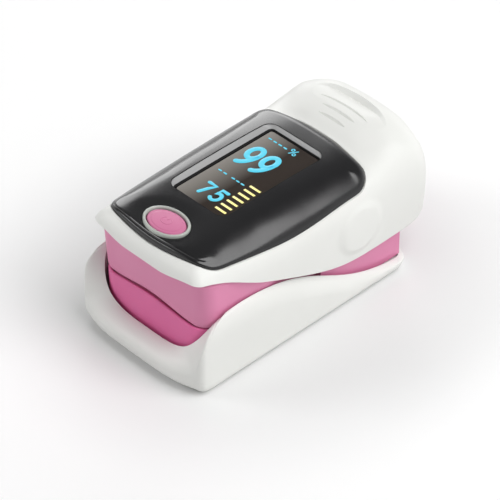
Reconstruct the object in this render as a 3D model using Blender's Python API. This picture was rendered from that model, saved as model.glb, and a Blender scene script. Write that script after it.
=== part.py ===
"""Fingertip pulse oximeter: a spring clip of two halves on one hinge pin.

Millimetres below are turned into metres where a mesh is made. Z is up, the object stands on its
flat underside at z = 0, the finger goes in from -Y and the pinch end is at +Y.
"""

import math

import bmesh
import bpy
from mathutils import Vector

MM = 0.001

# Hinge
HINGE_Y = 10.4
HINGE_Z = 16.8
PIN_R = 1.2
PIN_HALF = 13.6
PIN_BORE = 1.5

# Upper shell: plan outline, crown and wall
UP_FRONT = -29.7
UP_REAR = 31.5
UP_HALF = 15.9
UP_FRONT_NARROW = 1.3
UP_CORNER_FRONT = 2.0
UP_CORNER_REAR = 4.5
UP_BOW_FRONT = 0.5
UP_BOW_REAR = 1.0
WAIST_Z = 17.0
SEAT_CROWN = 27.35
CAP_RISE = 5.0
CAP_START = 14.0
CAP_LENGTH = 13.0
SCOOP_DEPTH = 1.0
UP_WALL = 1.3
SPINE_FRONT = -18.0
SPINE_REAR = 2.0
BOSS_R = 5.9
BOSS_PROUD = 0.45
RIM_GAP = 0.3

# Display plate
PANEL_FRONT = -27.0
PANEL_REAR = 15.4
PANEL_INSET = 0.4
PANEL_NARROW = 3.6
PANEL_CORNER_FRONT = 4.6
PANEL_CORNER_REAR = 4.0
PANEL_CROWN = 28.55
PANEL_FALL = 1.0
PANEL_SWELL = 0.75
PANEL_THICK = 2.2
SEAT_DROP = 0.4
SEAT_GAP = 0.32
SEAT_WIDTH = 2.0
WINDOW_X = 6.4
WINDOW_FRONT = -15.2
WINDOW_REAR = 9.5
WINDOW_SLOPE = 1.5
WINDOW_RISE = 1.0
WINDOW_STEEP = 0.3
WINDOW_DEPTH = 1.0

# Button: an oval, longer across the width by OVAL at each end than along the length
BUTTON_Y = -22.7
OVAL = 1.37
RING_R = 3.6
RING_BORE = 2.9
RING_TOP = 28.15
BUTTON_R = 2.6
FLANGE_R = 3.2
FLANGE_Z = 26.8
RING_BOTTOM = 27.38
BUTTON_TOP = 28.1

# Lower shell
LOW_FRONT = -31.5
LOW_REAR = 24.6
LOW_HALF = 15.9
LOW_CORNER_FRONT = 1.8
LOW_BOW = 1.6
LOW_CORNER_REAR = 3.2
LOW_FOOT_R = 2.0
LOW_FOOT_FRONT = 3.2
LIP_FRONT = -27.7
LIP_REAR = 23.5
LIP_HALF = 14.6
LIP_CORNER_FRONT = 4.8
LIP_CORNER_REAR = 2.2
LIP_FLAT = 1.1
FLOOR_TOP = 1.85

# Battery bay and chassis
CHASSIS_HALF = 12.6
CHASSIS_FRONT = -26.05
CHASSIS_REAR = 23.2
CARRIER_HALF = 11.4
BAY_HALF = 11.0
BAY_FRONT = -25.0
BAY_REAR = 22.3
DECK_BOTTOM = 12.65
DECK_TOP = 13.3
SHOULDER_Z = 11.9
CELL_R = 5.25
CELL_X = 5.6
CELL_Z = 7.1
CELL_LENGTH = 44.2
CELL_FRONT = -24.1
CHEEK_INNER = 11.9
CHEEK_OUTER = 13.85
CHEEK_R = 3.6

# Finger channel
TROUGH_Z = 14.15
TROUGH_RISE = 2.1
ARCH_Z = 20.2
ARCH_FALL = 2.3
PAD_HALF = 10.4
CEILING_BOTTOM = 21.2
CEILING_TOP = 22.3
SENSOR_Y = -10.0

# Sampling of the lofts: front edge, front corner, side, rear corner, rear edge (half outline)
STEPS = (5, 6, 16, 6, 6)
SKIN_ROWS = 15


def clear_scene():
    for obj in list(bpy.data.objects):
        bpy.data.objects.remove(obj)


def material(name, colour, roughness, metallic=0.0, alpha=1.0):
    made = bpy.data.materials.new(name)
    made.use_nodes = True
    shader = made.node_tree.nodes["Principled BSDF"]
    shader.inputs["Base Color"].default_value = (*colour, 1.0)
    shader.inputs["Roughness"].default_value = roughness
    shader.inputs["Metallic"].default_value = metallic
    shader.inputs["Alpha"].default_value = alpha
    made.diffuse_color = (*colour, 1.0)
    return made


def add_object(name, bm, mat=None, smooth_angle=35.0):
    bmesh.ops.recalc_face_normals(bm, faces=bm.faces)
    for vert in bm.verts:
        vert.co *= MM
    mesh = bpy.data.meshes.new(name)
    bm.to_mesh(mesh)
    bm.free()
    if mat is not None:
        mesh.materials.append(mat)
    mesh.shade_smooth()
    mesh.set_sharp_from_angle(angle=math.radians(smooth_angle))
    obj = bpy.data.objects.new(name, mesh)
    bpy.context.scene.collection.objects.link(obj)
    return obj


def helper(obj):
    obj.hide_render = True
    obj.display_type = 'WIRE'
    return obj


def boolean(obj, other, operation):
    helper(other)
    made = obj.modifiers.new(other.name, 'BOOLEAN')
    made.operation = operation
    made.solver = 'EXACT'
    made.object = other


def cut(obj, other):
    boolean(obj, other, 'DIFFERENCE')


def join(obj, other):
    boolean(obj, other, 'UNION')


def put_box(bm, x0, x1, y0, y1, z0, z1):
    corners = [(x, y, z) for z in (z0, z1) for y in (y0, y1) for x in (x0, x1)]
    v = [bm.verts.new(c) for c in corners]
    for face in ((0, 2, 3, 1), (4, 5, 7, 6), (0, 1, 5, 4), (2, 6, 7, 3), (0, 4, 6, 2), (1, 3, 7, 5)):
        bm.faces.new([v[i] for i in face])


def put_rings(bm, rings, close=False):
    """Bridges rings of equal length. The two ends are capped, or joined to each other when closed."""
    loops = [[bm.verts.new(p) for p in ring] for ring in rings]
    count = len(loops[0])
    pairs = list(zip(loops, loops[1:]))
    if close:
        pairs.append((loops[-1], loops[0]))
    for low, high in pairs:
        for i in range(count):
            j = (i + 1) % count
            bm.faces.new((low[i], low[j], high[j], high[i]))
    if not close:
        bm.faces.new(loops[0][::-1])
        bm.faces.new(loops[-1])


def circle(radius, sides, turn=0.0):
    steps = [2 * math.pi * (i + turn) / sides for i in range(sides)]
    return [(radius * math.cos(a), radius * math.sin(a)) for a in steps]


def oval_ring(radius, z):
    """Loop of the oval button at one height."""
    return [(u * (radius + OVAL) / radius, BUTTON_Y + v, z) for u, v in circle(radius, 36)]


def put_turned(bm, profile, axis, centre, sides):
    """A turned solid: profile of (radius, distance along the axis)."""
    rings = []
    for radius, along in profile:
        ring = []
        for u, v in circle(radius, sides):
            if axis == 'X':
                ring.append((centre[0] + along, centre[1] + u, centre[2] + v))
            elif axis == 'Y':
                ring.append((centre[0] + v, centre[1] + along, centre[2] + u))
            else:
                ring.append((centre[0] + u, centre[1] + v, centre[2] + along))
        rings.append(ring)
    put_rings(bm, rings)


def box(name, x0, x1, y0, y1, z0, z1, mat=None):
    bm = bmesh.new()
    put_box(bm, x0, x1, y0, y1, z0, z1)
    return add_object(name, bm, mat)


def turned(name, profile, axis, centre, sides, mat=None):
    bm = bmesh.new()
    put_turned(bm, profile, axis, centre, sides)
    return add_object(name, bm, mat)


def soft_edges(obj, width, segments=2, angle=40.0):
    made = obj.modifiers.new("edges", 'BEVEL')
    made.width = width * MM
    made.segments = segments
    made.limit_method = 'ANGLE'
    made.angle_limit = math.radians(angle)
    made.use_clamp_overlap = True


def half_outline(front, rear, side, corner_f, corner_r, bow_f, bow_r, steps, power=2):
    """Right half of a plan outline from the front centre to the rear centre."""
    n_front, n_fc, n_side, n_rc, n_rear = steps
    points = []
    y_f = front + bow_f + corner_f
    x_f = side(y_f)
    for i in range(n_front):
        x = (x_f - corner_f) * i / n_front
        points.append((x, front + bow_f * (i / n_front) ** power))
    for i in range(n_fc):
        a = 0.5 * math.pi * i / n_fc
        points.append((x_f - corner_f + corner_f * math.sin(a), y_f - corner_f * math.cos(a)))
    y_r = rear - bow_r - corner_r
    for i in range(n_side):
        y = y_f + (y_r - y_f) * i / n_side
        points.append((side(y), y))
    x_r = side(y_r)
    for i in range(n_rc):
        a = 0.5 * math.pi * i / n_rc
        points.append((x_r - corner_r + corner_r * math.cos(a), y_r + corner_r * math.sin(a)))
    for i in range(n_rear + 1):
        k = 1 - i / n_rear
        points.append(((x_r - corner_r) * k, rear - bow_r * k * k))
    return points


def whole(half):
    """Both halves of a mirrored outline as one loop."""
    return half + [(-x, *rest) for x, *rest in half[-2:0:-1]]


def smoothstep(t):
    t = min(1.0, max(0.0, t))
    return t * t * (3 - 2 * t)


# Forms shared by several pieces


def upper_side(y):
    if y < 8:
        return UP_HALF - UP_FRONT_NARROW * ((y - 8) / 38) ** 2
    return UP_HALF - 0.5 * ((y - 8) / 23.3) ** 2


def panel_side(y):
    inset = PANEL_INSET + 0.4 * smoothstep((y + 6) / 8) + 0.75 * smoothstep((y - 2) / 9)
    return UP_HALF - inset - PANEL_NARROW * (min(0.0, y - 4) / 34) ** 2


def upper_edge(x, y):
    """Height of the upper shell's wavy lower edge."""
    wave = 9.4 + 1.29 * math.log(1 + math.exp((6 - y) / 3))
    low = 23.0 - 0.8 * math.log(1 + math.exp((23.0 - wave) / 0.8))
    if y > 23:
        low += 6 * (1 - math.sqrt(max(0.0, 1 - ((y - 23) / 8.7) ** 2)))
    return low + smoothstep((abs(x) - 4) / 9) * smoothstep((-13 - y) / 10)


def lower_edge(x, y):
    """Height of the lower shell's inner lip: the U of the mouth, then the wave along the side."""
    if y < LIP_FRONT + LIP_CORNER_FRONT:
        return 5.9 + 9.3 * (abs(x) / LIP_HALF) ** 4
    wave = 1.8 + 14.8 / (1 + math.exp((y - 2.9) / 6.5))
    return wave - 2.4 * math.exp(-(y + 27) / 4)


def cap_crown(y):
    return SEAT_CROWN + CAP_RISE * smoothstep((y - CAP_START) / CAP_LENGTH)


def scoop(x, y):
    """Thumb scoop in the rear cap: a shallow bowl that ends in a steeper crescent at the rear."""
    along = smoothstep((y - 15.5) / 7.7) * (1 - smoothstep((y - 23.3) / 1.8))
    return SCOOP_DEPTH * along * max(0.0, 1 - (x / 8.4) ** 2) ** 1.5


def spine(y):
    """Where on the middle line the rib through an outline point starts."""
    return min(max(y, SPINE_FRONT), SPINE_REAR)


def exponents(outer, centre):
    """Fullness of the section: square at the sides and rear, leaning back at the front."""
    reach = math.hypot(outer[0], outer[1] - centre)
    ahead = max(0.0, (centre - outer[1]) / reach) ** 2
    soft = 1.1 * smoothstep((outer[1] - 14) / 14) * smoothstep((abs(outer[0]) - 6.5) / 8.5)
    return 4 - 0.5 * ahead - soft, 4 - 1.1 * ahead - soft


def panel_top(x, y):
    crown = PANEL_CROWN - PANEL_FALL * ((y + 3) / 24) ** 2
    share = min(1.0, abs(x) / (upper_side(y) + PANEL_SWELL))
    return WAIST_Z + (crown - WAIST_Z) * (1 - share ** 4) ** 0.25


def crossing(outer, outline):
    """Share of the ray from the spine to an outline point at which it crosses another outline."""
    cy = spine(outer[1])
    dx, dy = outer[0], outer[1] - cy
    for (ax, ay), (bx, by) in zip(outline, outline[1:]):
        ex, ey = bx - ax, by - ay
        det = dx * -ey + dy * ex
        if abs(det) < 1e-9:
            continue
        k = (ax * -ey + (ay - cy) * ex) / det
        along = (dx * (ay - cy) - dy * ax) / det
        if k > 0 and -1e-6 <= along <= 1 + 1e-6:
            return k
    return 0.8


def resample(path, rows):
    lengths = [0.0]
    for a, b in zip(path, path[1:]):
        lengths.append(lengths[-1] + math.dist(a, b))
    result = []
    for r in range(rows):
        want = lengths[-1] * r / (rows - 1)
        i = 0
        while i < len(path) - 2 and lengths[i + 1] < want:
            i += 1
        span = lengths[i + 1] - lengths[i]
        t = (want - lengths[i]) / span if span else 0.0
        result.append(tuple(p + (q - p) * t for p, q in zip(path[i], path[i + 1])))
    return result


OUTER = half_outline(UP_FRONT, UP_REAR, upper_side, UP_CORNER_FRONT, UP_CORNER_REAR,
                     UP_BOW_FRONT, UP_BOW_REAR, STEPS)
PANEL = half_outline(PANEL_FRONT, PANEL_REAR, panel_side, PANEL_CORNER_FRONT, PANEL_CORNER_REAR,
                     0.7, 0.8, STEPS)


def rib_height(out, reach, p, q, crown):
    """Height of a rib at a distance from the spine."""
    rise = max(0.0, 1 - (out / reach) ** p) ** (1 / q)
    return WAIST_Z + (crown - WAIST_Z) * rise


def on_skin(x, y, proud):
    """Point of the even skin under the plate, moved out along the skin's normal."""

    def height(u, v):
        k = 1 / crossing((abs(u), v), OUTER)
        centre = spine(v)
        outer = (abs(u) / k, centre + (v - centre) / k)
        return rib_height(k, 1.0, *exponents(outer, centre), SEAT_CROWN)

    along_x = (height(x + 0.02, y) - height(x - 0.02, y)) / 0.04
    along_y = (height(x, y + 0.02) - height(x, y - 0.02)) / 0.04
    normal = Vector((-along_x, -along_y, 1.0)).normalized()
    return Vector((x, y, height(x, y))) + proud * normal


def shell_section(outer):
    """One rib of the upper shell as a closed section: seat, cap, side, lower edge and inner wall."""
    centre = spine(outer[1])
    reach = math.hypot(outer[0], outer[1] - centre)
    ux, uy = outer[0] / reach, (outer[1] - centre) / reach
    p, q = exponents(outer, centre)

    def seat(out, drop):
        z = rib_height(out, reach, p, q, SEAT_CROWN)
        slope = (rib_height(out + 0.01, reach, p, q, SEAT_CROWN) - z) / 0.01
        size = math.hypot(1.0, slope)
        return out + drop * slope / size, z - drop / size

    def beyond(out, arc):
        done = 0.0
        while done < arc:
            slope = (rib_height(out + 0.01, reach, p, q, SEAT_CROWN) -
                     rib_height(out, reach, p, q, SEAT_CROWN)) / 0.01
            out += 0.01
            done += 0.01 * math.hypot(1.0, slope)
        return out

    rim = crossing(outer, PANEL) * reach
    start = math.acos(min(1.0, (beyond(rim, RIM_GAP) / reach) ** (p / 2)))
    path = []
    for i in range(90):
        a = start * (1 - i / 89)
        out = reach * math.cos(a) ** (2 / p)
        x, y = ux * out, centre + uy * out
        z = WAIST_Z + (cap_crown(y) - WAIST_Z) * math.sin(a) ** (2 / q) - scoop(x, y)
        if z < upper_edge(x, y):
            break
        path.append((out, z))
    low = upper_edge(*outer)
    for i in range(1, 25):
        if low >= WAIST_Z:
            break
        z = WAIST_Z + (low - WAIST_Z) * i / 24
        path.append((reach * (1 - 0.02 * ((WAIST_Z - z) / 8) ** 2), z))
    skin = resample(path, SKIN_ROWS)
    base = [seat(rim - SEAT_WIDTH, 0.0)] + skin
    wall = []
    for i, (out, z) in enumerate(base):
        a, b = base[max(i - 1, 0)], base[min(i + 1, len(base) - 1)]
        size = math.dist(a, b)
        thick = UP_WALL * (0.62 + 0.38 * smoothstep((len(base) - 1 - i) / 3))
        wall.append((out + (b[1] - a[1]) / size * thick, z - (b[0] - a[0]) / size * thick))
    section = [seat(rim - SEAT_WIDTH, SEAT_DROP), seat(beyond(rim, 0.1), SEAT_DROP)]
    section += skin
    section += wall[:0:-2]
    section.append(wall[0])
    return [(ux * out, centre + uy * out, z) for out, z in section]


def make_upper_shell(mat):
    columns = [shell_section(o) for o in OUTER]
    columns = columns + [[(-x, y, z) for x, y, z in c] for c in columns[-2:0:-1]]
    bm = bmesh.new()
    put_rings(bm, columns, close=True)
    obj = add_object("upper_shell", bm, mat)
    extra = bmesh.new()
    for side in (-1, 1):
        profile = [(BOSS_R, UP_HALF - 0.7), (BOSS_R, UP_HALF + 0.02)]
        for i in range(1, 5):
            k = i / 4
            profile.append((BOSS_R - 1.7 * k, UP_HALF + 0.02 + (BOSS_PROUD - 0.02) * smoothstep(k)))
        profile = [(r, side * along) for r, along in profile]
        put_turned(extra, profile, 'X', (0, HINGE_Y, HINGE_Z), 40)
    bmesh.ops.recalc_face_normals(extra, faces=extra.faces)
    join(obj, add_object("shell_bosses", extra))
    posts = bmesh.new()
    for side in (-1, 1):
        put_turned(posts, [(2.2, CEILING_TOP + 0.3), (2.2, 27.3)], 'Z', (8.2 * side, 19.5, 0), 16)
    join(obj, add_object("shell_posts", posts))
    pilots = bmesh.new()
    for side in (-1, 1):
        put_turned(pilots, [(1.2, CEILING_TOP - 1), (1.2, 25.5)], 'Z', (8.2 * side, 19.5, 0), 12)
    cut(obj, add_object("shell_pilots", pilots))
    return obj


def inset(points, distance):
    """Half outline moved inwards by one distance, or by a distance for each point."""
    moved = []
    for i, (x, y) in enumerate(points):
        ax, ay = points[i - 1] if i else (-points[1][0], points[1][1])
        bx, by = points[i + 1] if i < len(points) - 1 else (-points[-2][0], points[-2][1])
        size = math.hypot(bx - ax, by - ay)
        d = distance[i] if isinstance(distance, list) else distance
        moved.append((max(0.0, x - (by - ay) / size * d), y + (bx - ax) / size * d))
    return moved


# Edge of the plate as (distance in, share of the height): a soft roll at the sides, a bead with a
# small step at the front, a short roll at the rear
SIDE_ROLL = ((0.0, 0.0), (0.0, 0.12), (0.1, 0.31), (0.4, 0.52),
             (1.0, 0.72), (2.0, 0.88), (3.2, 0.97), (4.4, 1.0))
FRONT_STEPS = ((0.0, 0.0), (0.0, 0.35), (0.08, 0.55), (0.28, 0.7),
               (0.42, 0.76), (0.48, 0.93), (0.65, 0.98), (1.8, 1.0))
REAR_ROLL = ((0.0, 0.0), (0.0, 0.3), (0.08, 0.55), (0.3, 0.78),
             (0.6, 0.9), (1.0, 0.97), (1.4, 0.99), (1.8, 1.0))


def plate_edge(n, foot):
    """Ring n of the plate's edge over its outline."""
    distances = []
    shares = []
    for i, (x, y) in enumerate(PANEL):
        ax, ay = PANEL[i - 1] if i else (-PANEL[1][0], PANEL[1][1])
        bx, by = PANEL[i + 1] if i < len(PANEL) - 1 else (-PANEL[-2][0], PANEL[-2][1])
        facing = (ax - bx) / math.hypot(bx - ax, by - ay)
        end = FRONT_STEPS[n] if facing < 0 else REAR_ROLL[n]
        mix = smoothstep((abs(facing) - 0.25) / 0.5)
        narrow = 1 - 0.3 * smoothstep(y / 12)
        distances.append(SIDE_ROLL[n][0] * narrow * (1 - mix) + end[0] * mix)
        shares.append(SIDE_ROLL[n][1] * (1 - mix) + end[1] * mix)
    ring = []
    for (x, y), low, share in zip(inset(PANEL, distances), foot, shares):
        ring.append((x, y, low + share * (panel_top(x, y) - low)))
    return ring


def window_loop(grow):
    """Loop of the recess: wide slopes at the left and the rear, steep ones at the right and the front."""
    corner = 0.6 + 1.6 * grow
    half = half_outline(WINDOW_FRONT - WINDOW_STEEP * grow, WINDOW_REAR + WINDOW_RISE * grow,
                        lambda y: WINDOW_X + 0.5 * (WINDOW_SLOPE + WINDOW_STEEP) * grow,
                        corner, corner, 0.0, 0.0, STEPS)
    shift = 0.5 * (WINDOW_SLOPE - WINDOW_STEEP) * grow
    return [(x - shift, y) for x, y in whole(half)]


def make_display_panel(mat):
    """Crowned plate with a sloped recess and a pocket for the lens, and the hole of the button."""
    depth_z = PANEL_CROWN - WINDOW_DEPTH
    foot = [on_skin(x, y, SEAT_GAP - SEAT_DROP).z for x, y in PANEL]
    rings = [whole(plate_edge(n, foot)) for n in range(len(SIDE_ROLL))]
    rim = rings[-1]
    brow = window_loop(1.0)
    for t in (0.33, 0.67, 1.0):
        ring = []
        for a, b in zip(rim, brow):
            x = a[0] + (b[0] - a[0]) * t
            y = a[1] + (b[1] - a[1]) * t
            ring.append((x, y, panel_top(x, y)))
        rings.append(ring)
    rings.append([(x, y, depth_z) for x, y in window_loop(0.0)])
    rings.append([(x, y, depth_z - 0.8) for x, y in window_loop(0.0)])
    rings.append([(x, y, panel_top(x, y) - PANEL_THICK) for x, y in window_loop(1.0)])
    under = whole(inset(PANEL, 2.9))
    rings.append([(x, y, panel_top(x, y) - PANEL_THICK) for x, y in under])
    rings.append(whole([tuple(on_skin(x, y, SEAT_GAP - SEAT_DROP)) for x, y in inset(PANEL, 2.7)]))
    bm = bmesh.new()
    put_rings(bm, rings, close=True)
    obj = add_object("display_panel", bm, mat)
    hole = [oval_ring(RING_R + 0.22, z) for z in (20.0, 32.0)]
    bm = bmesh.new()
    put_rings(bm, hole)
    cut(obj, add_object("button_hole", bm))
    return obj


def rounded_box(half_x, y0, y1, radius, steps):
    """Loop of a rectangle with round corners."""
    loop = []
    for cx, cy, start in ((half_x - radius, y0 + radius, -90), (half_x - radius, y1 - radius, 0),
                          (radius - half_x, y1 - radius, 90), (radius - half_x, y0 + radius, 180)):
        for i in range(steps):
            a = math.radians(start + 90 * i / (steps - 1))
            loop.append((cx + radius * math.cos(a), cy + radius * math.sin(a)))
    return loop


def plate(name, half_x, y0, y1, z0, z1, radius, mat=None, steps=4):
    bm = bmesh.new()
    loop = rounded_box(half_x, y0, y1, radius, steps)
    put_rings(bm, [[(x, y, z) for x, y in loop] for z in (z0, z1)])
    return add_object(name, bm, mat)


def make_upper_chassis(mat):
    """Skirt in three levels round the front, closed by a wall thickness, with ceiling and lugs."""
    wall = 1.15

    def bottom_side(y):
        return 13.95

    def edge_side(y):
        return upper_side(y) - 0.85 - 0.9 * smoothstep((y + 13) / 6)

    def top_side(y):
        return upper_side(y) - 3.1

    steps = (4, 4, 8, 1, 1)
    low = half_outline(-26.8, 4.0, bottom_side, 1.8, 1.0, 0.3, 0.0, steps)[:16]
    mid = half_outline(-27.6, 4.0, edge_side, 2.0, 1.0, 0.5, 0.0, steps)[:16]
    top = half_outline(-25.6, 4.0, top_side, 3.8, 1.0, 0.5, 0.0, steps)[:16]

    def bottom_z(x, y):
        arch = 1 - smoothstep(abs(x) / 11.5)
        return 12.6 + (1.2 * arch if y < -24 else 0.0)

    columns = []
    for a, b, c in zip(low, mid, top):
        b = (b[0], min(b[1], 0.0))
        edge = max(upper_edge(*b) - 0.45 - 0.45 * smoothstep((-19 - b[1]) / 4), 14.2)
        columns.append(((a[0], a[1], bottom_z(*a)), (b[0], b[1], edge), (c[0], c[1], max(edge + 0.2, 22.55))))
    columns = [[(-x, y, z) for x, y, z in c] for c in columns[:0:-1]] + columns
    count = len(columns)
    middle = [Vector((0.0, min(max(c[1][1], -22.0), 0.0), 0.0)) for c in columns]
    bm = bmesh.new()
    loops = []
    for column, centre in zip(columns, middle):
        inner = []
        for point in reversed(column):
            out = Vector((point[0] - centre.x, point[1] - centre.y, 0.0))
            shift = out.normalized() * wall
            inner.append((point[0] - shift.x, point[1] - shift.y, point[2]))
        loops.append([bm.verts.new(p) for p in list(column) + inner])
    for a, b in zip(loops, loops[1:]):
        for i in range(6):
            j = (i + 1) % 6
            bm.faces.new((a[i], a[j], b[j], b[i]))
    bm.faces.new(loops[0])
    bm.faces.new(loops[-1])
    obj = add_object("upper_chassis", bm, mat)
    rear = bmesh.new()
    front_loop = rounded_box(11.9, -25.0, 4.0, 2.4, 4)
    put_rings(rear, [[(x, y, z) for x, y in front_loop] for z in (CEILING_BOTTOM, CEILING_TOP)])
    join(obj, add_object("chassis_ceiling", rear))
    deck = bmesh.new()
    put_box(deck, -11.0, 11.0, 3.5, 22.0, CEILING_BOTTOM, CEILING_TOP)
    join(obj, add_object("chassis_tail", deck))
    join(obj, box("chassis_stop", -9.0, 9.0, 3.5, 4.7, 14.7, CEILING_BOTTOM + 0.5))
    lugs = bmesh.new()
    for side in (-1, 1):
        loop = []
        for i in range(13):
            a = math.radians(180 + 180 * i / 12)
            loop.append((HINGE_Y + 3.2 * math.cos(a), HINGE_Z + 3.2 * math.sin(a)))
        loop.append((HINGE_Y + 4.4, CEILING_TOP - 0.4))
        loop.append((HINGE_Y - 4.4, CEILING_TOP - 0.4))
        x0, x1 = sorted((9.3 * side, 10.95 * side))
        put_rings(lugs, [[(x, y, z) for y, z in loop] for x in (x0, x1)])
    join(obj, add_object("chassis_lugs", lugs))
    cutters = bmesh.new()
    put_turned(cutters, [(PIN_BORE, -14), (PIN_BORE, 14)], 'X', (0, HINGE_Y, HINGE_Z), 20)
    put_box(cutters, -3.4, 3.4, SENSOR_Y - 4.0, SENSOR_Y + 4.0, CEILING_BOTTOM - 2, CEILING_TOP + 2)
    for side in (-1, 1):
        put_turned(cutters, [(1.3, 18), (1.3, 26)], 'Z', (8.2 * side, 19.5, 0), 12)
    cut(obj, add_object("chassis_cuts", cutters))
    return obj


def lip_z(point):
    return lower_edge(*point)


def make_lower_shell(mat):
    """Tub: foot radius, upright wall, round lip that falls away to the U of the mouth, cavity."""
    steps = (9, 5, 14, 4, 4)
    outer = half_outline(LOW_FRONT, LOW_REAR, lambda y: LOW_HALF, LOW_CORNER_FRONT, LOW_CORNER_REAR,
                         LOW_BOW, 0.3, steps, 4)
    inner = half_outline(LIP_FRONT, LIP_REAR, lambda y: LIP_HALF, LIP_CORNER_FRONT, LIP_CORNER_REAR,
                         0.0, 0.0, steps)
    lip = [lip_z(p) for p in inner]

    rings = []
    foot = [LOW_FOOT_R + (LOW_FOOT_FRONT - LOW_FOOT_R) * smoothstep((-26.5 - y) / 4) for x, y in outer]
    for angle in (0, 35, 65, 90):
        a = math.radians(angle)
        points = inset(outer, [r * (1 - math.sin(a)) for r in foot])
        rings.append([(x, y, r * (1 - math.cos(a))) for (x, y), r in zip(points, foot)])
    for angle in (0, 12, 28, 45, 62, 78, 90):
        a = math.radians(angle)
        across, up = math.cos(a) ** LIP_FLAT, math.sin(a) ** LIP_FLAT
        ring = []
        for (ox, oy), (ix, iy), z, r in zip(outer, inner, lip, foot):
            start = max(r + 0.2, 0.9 * z - 2.0)
            ring.append((ix + (ox - ix) * across, iy + (oy - iy) * across, start + (z - start) * up))
        rings.append(ring)
    rings.append([(x, y, FLOOR_TOP) for x, y in inner])
    bm = bmesh.new()
    put_rings(bm, [whole(r) for r in rings])
    obj = add_object("lower_shell", bm, mat)
    opening = bmesh.new()
    put_box(opening, -11.3, 11.3, -24.0, 27.0, -1.0, 1.0)
    cut(obj, add_object("door_opening", opening))
    cut(obj, box("door_slot", -12.5, 12.5, -24.3, 27.0, 0.65, 2.6))
    cut(obj, box("door_end", -11.3, 11.3, 23.3, 27.0, -1.0, 6.0))
    return obj


def make_battery_door(mat):
    bm = bmesh.new()
    profile = ((-11.0, 0.25), (11.0, 0.25), (11.0, 0.95), (12.2, 0.95), (12.2, 1.5),
               (-12.2, 1.5), (-12.2, 0.95), (-11.0, 0.95))
    put_rings(bm, [[(x, y, z) for x, z in profile] for y in (-23.7, 23.2)])
    obj = add_object("battery_door", bm, mat)
    join(obj, box("door_upstand", -11.0, 11.0, 23.0, 24.35, 0.25, 2.1))
    grips = bmesh.new()
    for i in range(4):
        y = 12.0 + 2.0 * i
        put_box(grips, -5.0, 5.0, y, y + 0.9, -0.5, 0.65)
    cut(obj, add_object("door_grips", grips))
    return obj


def make_lower_chassis(mat):
    steps = (3, 4, 4, 3, 3)
    base = whole(half_outline(CHASSIS_FRONT, CHASSIS_REAR, lambda y: CHASSIS_HALF, 2.6, 0.8, 0.0, 0.0, steps))
    bm = bmesh.new()
    put_rings(bm, [[(x, y, z) for x, y in base] for z in (2.15, SHOULDER_Z)])
    obj = add_object("lower_chassis", bm, mat)
    carrier = bmesh.new()
    loop = rounded_box(CARRIER_HALF, CHASSIS_FRONT + 1.75, CHASSIS_REAR, 1.0, 4)
    put_rings(carrier, [[(x, y, z) for x, y in loop] for z in (10.0, DECK_TOP)])
    join(obj, add_object("chassis_deck", carrier))
    cheeks = bmesh.new()
    for side in (-1, 1):
        loop = [(2.2, 2.3), (CHASSIS_REAR - 0.1, 2.3), (CHASSIS_REAR - 0.1, 12.2)]
        for i in range(11):
            a = math.radians(-10 + 200 * i / 10)
            loop.append((HINGE_Y + CHEEK_R * math.cos(a), HINGE_Z + CHEEK_R * math.sin(a)))
        loop.append((2.2, 12.0))
        x0, x1 = sorted((CHEEK_INNER * side, CHEEK_OUTER * side))
        put_rings(cheeks, [[(x, y, z) for y, z in loop] for x in (x0, x1)])
    join(obj, add_object("chassis_cheeks", cheeks))
    bay = bmesh.new()
    put_box(bay, -BAY_HALF, BAY_HALF, BAY_FRONT, BAY_REAR, 0.0, 9.0)
    cut(obj, add_object("battery_bay", bay))
    cut(obj, box("bay_roof", -BAY_HALF, BAY_HALF, BAY_FRONT, BAY_REAR, 8.0, DECK_BOTTOM))
    others = bmesh.new()
    put_turned(others, [(PIN_BORE, -15), (PIN_BORE, 15)], 'X', (0, HINGE_Y, HINGE_Z), 20)
    put_box(others, -2.1, 2.1, SENSOR_Y - 3.2, SENSOR_Y + 3.2, 11.0, 15.0)
    cut(obj, add_object("chassis_bores", others))
    return obj


def make_lower_pad(mat):
    """Front apron in the U of the mouth and the finger trough behind it."""
    across = 10

    def crest(x):
        return 12.3 + 0.7 * (1 - smoothstep(abs(x) / 11.0))

    rows = []
    for y in (-25.1, -22.5, -19.0, -8.0, 2.4):
        loop = [PAD_HALF * (i / across * 2 - 1) for i in range(across + 1)]
        ease = smoothstep((y + 26.0) / 5)
        tops = [(x, y, TROUGH_Z + ease * TROUGH_RISE * (x / PAD_HALF) ** 2) for x in loop]
        rows.append(tops + [(x, y, DECK_TOP + 0.25) for x in reversed(loop)])
    bm = bmesh.new()
    put_rings(bm, rows)
    obj = add_object("lower_finger_pad", bm, mat)
    steps = (4, 4, 2, 1, 1)
    face = half_outline(-26.95, 0.0, lambda y: 13.8, 4.0, 1.0, 0.0, 0.0, steps)[:8]
    back = half_outline(-26.3, 0.0, lambda y: 13.15, 3.35, 1.0, 0.0, 0.0, steps)[:8]
    half = []
    for a, b in zip(face, back):
        top = crest(a[0])
        half.append([(a[0], a[1], 2.2), (a[0], a[1], top), (b[0], b[1], top), (b[0], b[1], 2.2)])
    strip = [[(-x, y, z) for x, y, z in c] for c in half[:0:-1]] + half
    apron = bmesh.new()
    put_rings(apron, strip)
    join(obj, add_object("pad_apron", apron))
    neck = bmesh.new()
    rows = [(-26.65, 12.15, 12.7), (-25.35, 12.2, 12.75), (-24.7, 13.62, 14.1)]
    put_rings(neck, [[(-4.5, y, low), (4.5, y, low), (4.5, y, high), (-4.5, y, high)]
                     for y, low, high in rows])
    join(obj, add_object("pad_neck", neck))
    cut(obj, box("pad_hole", -2.7, 2.7, SENSOR_Y - 3.7, SENSOR_Y + 3.7, 10.0, 20.0))
    return obj


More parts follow.
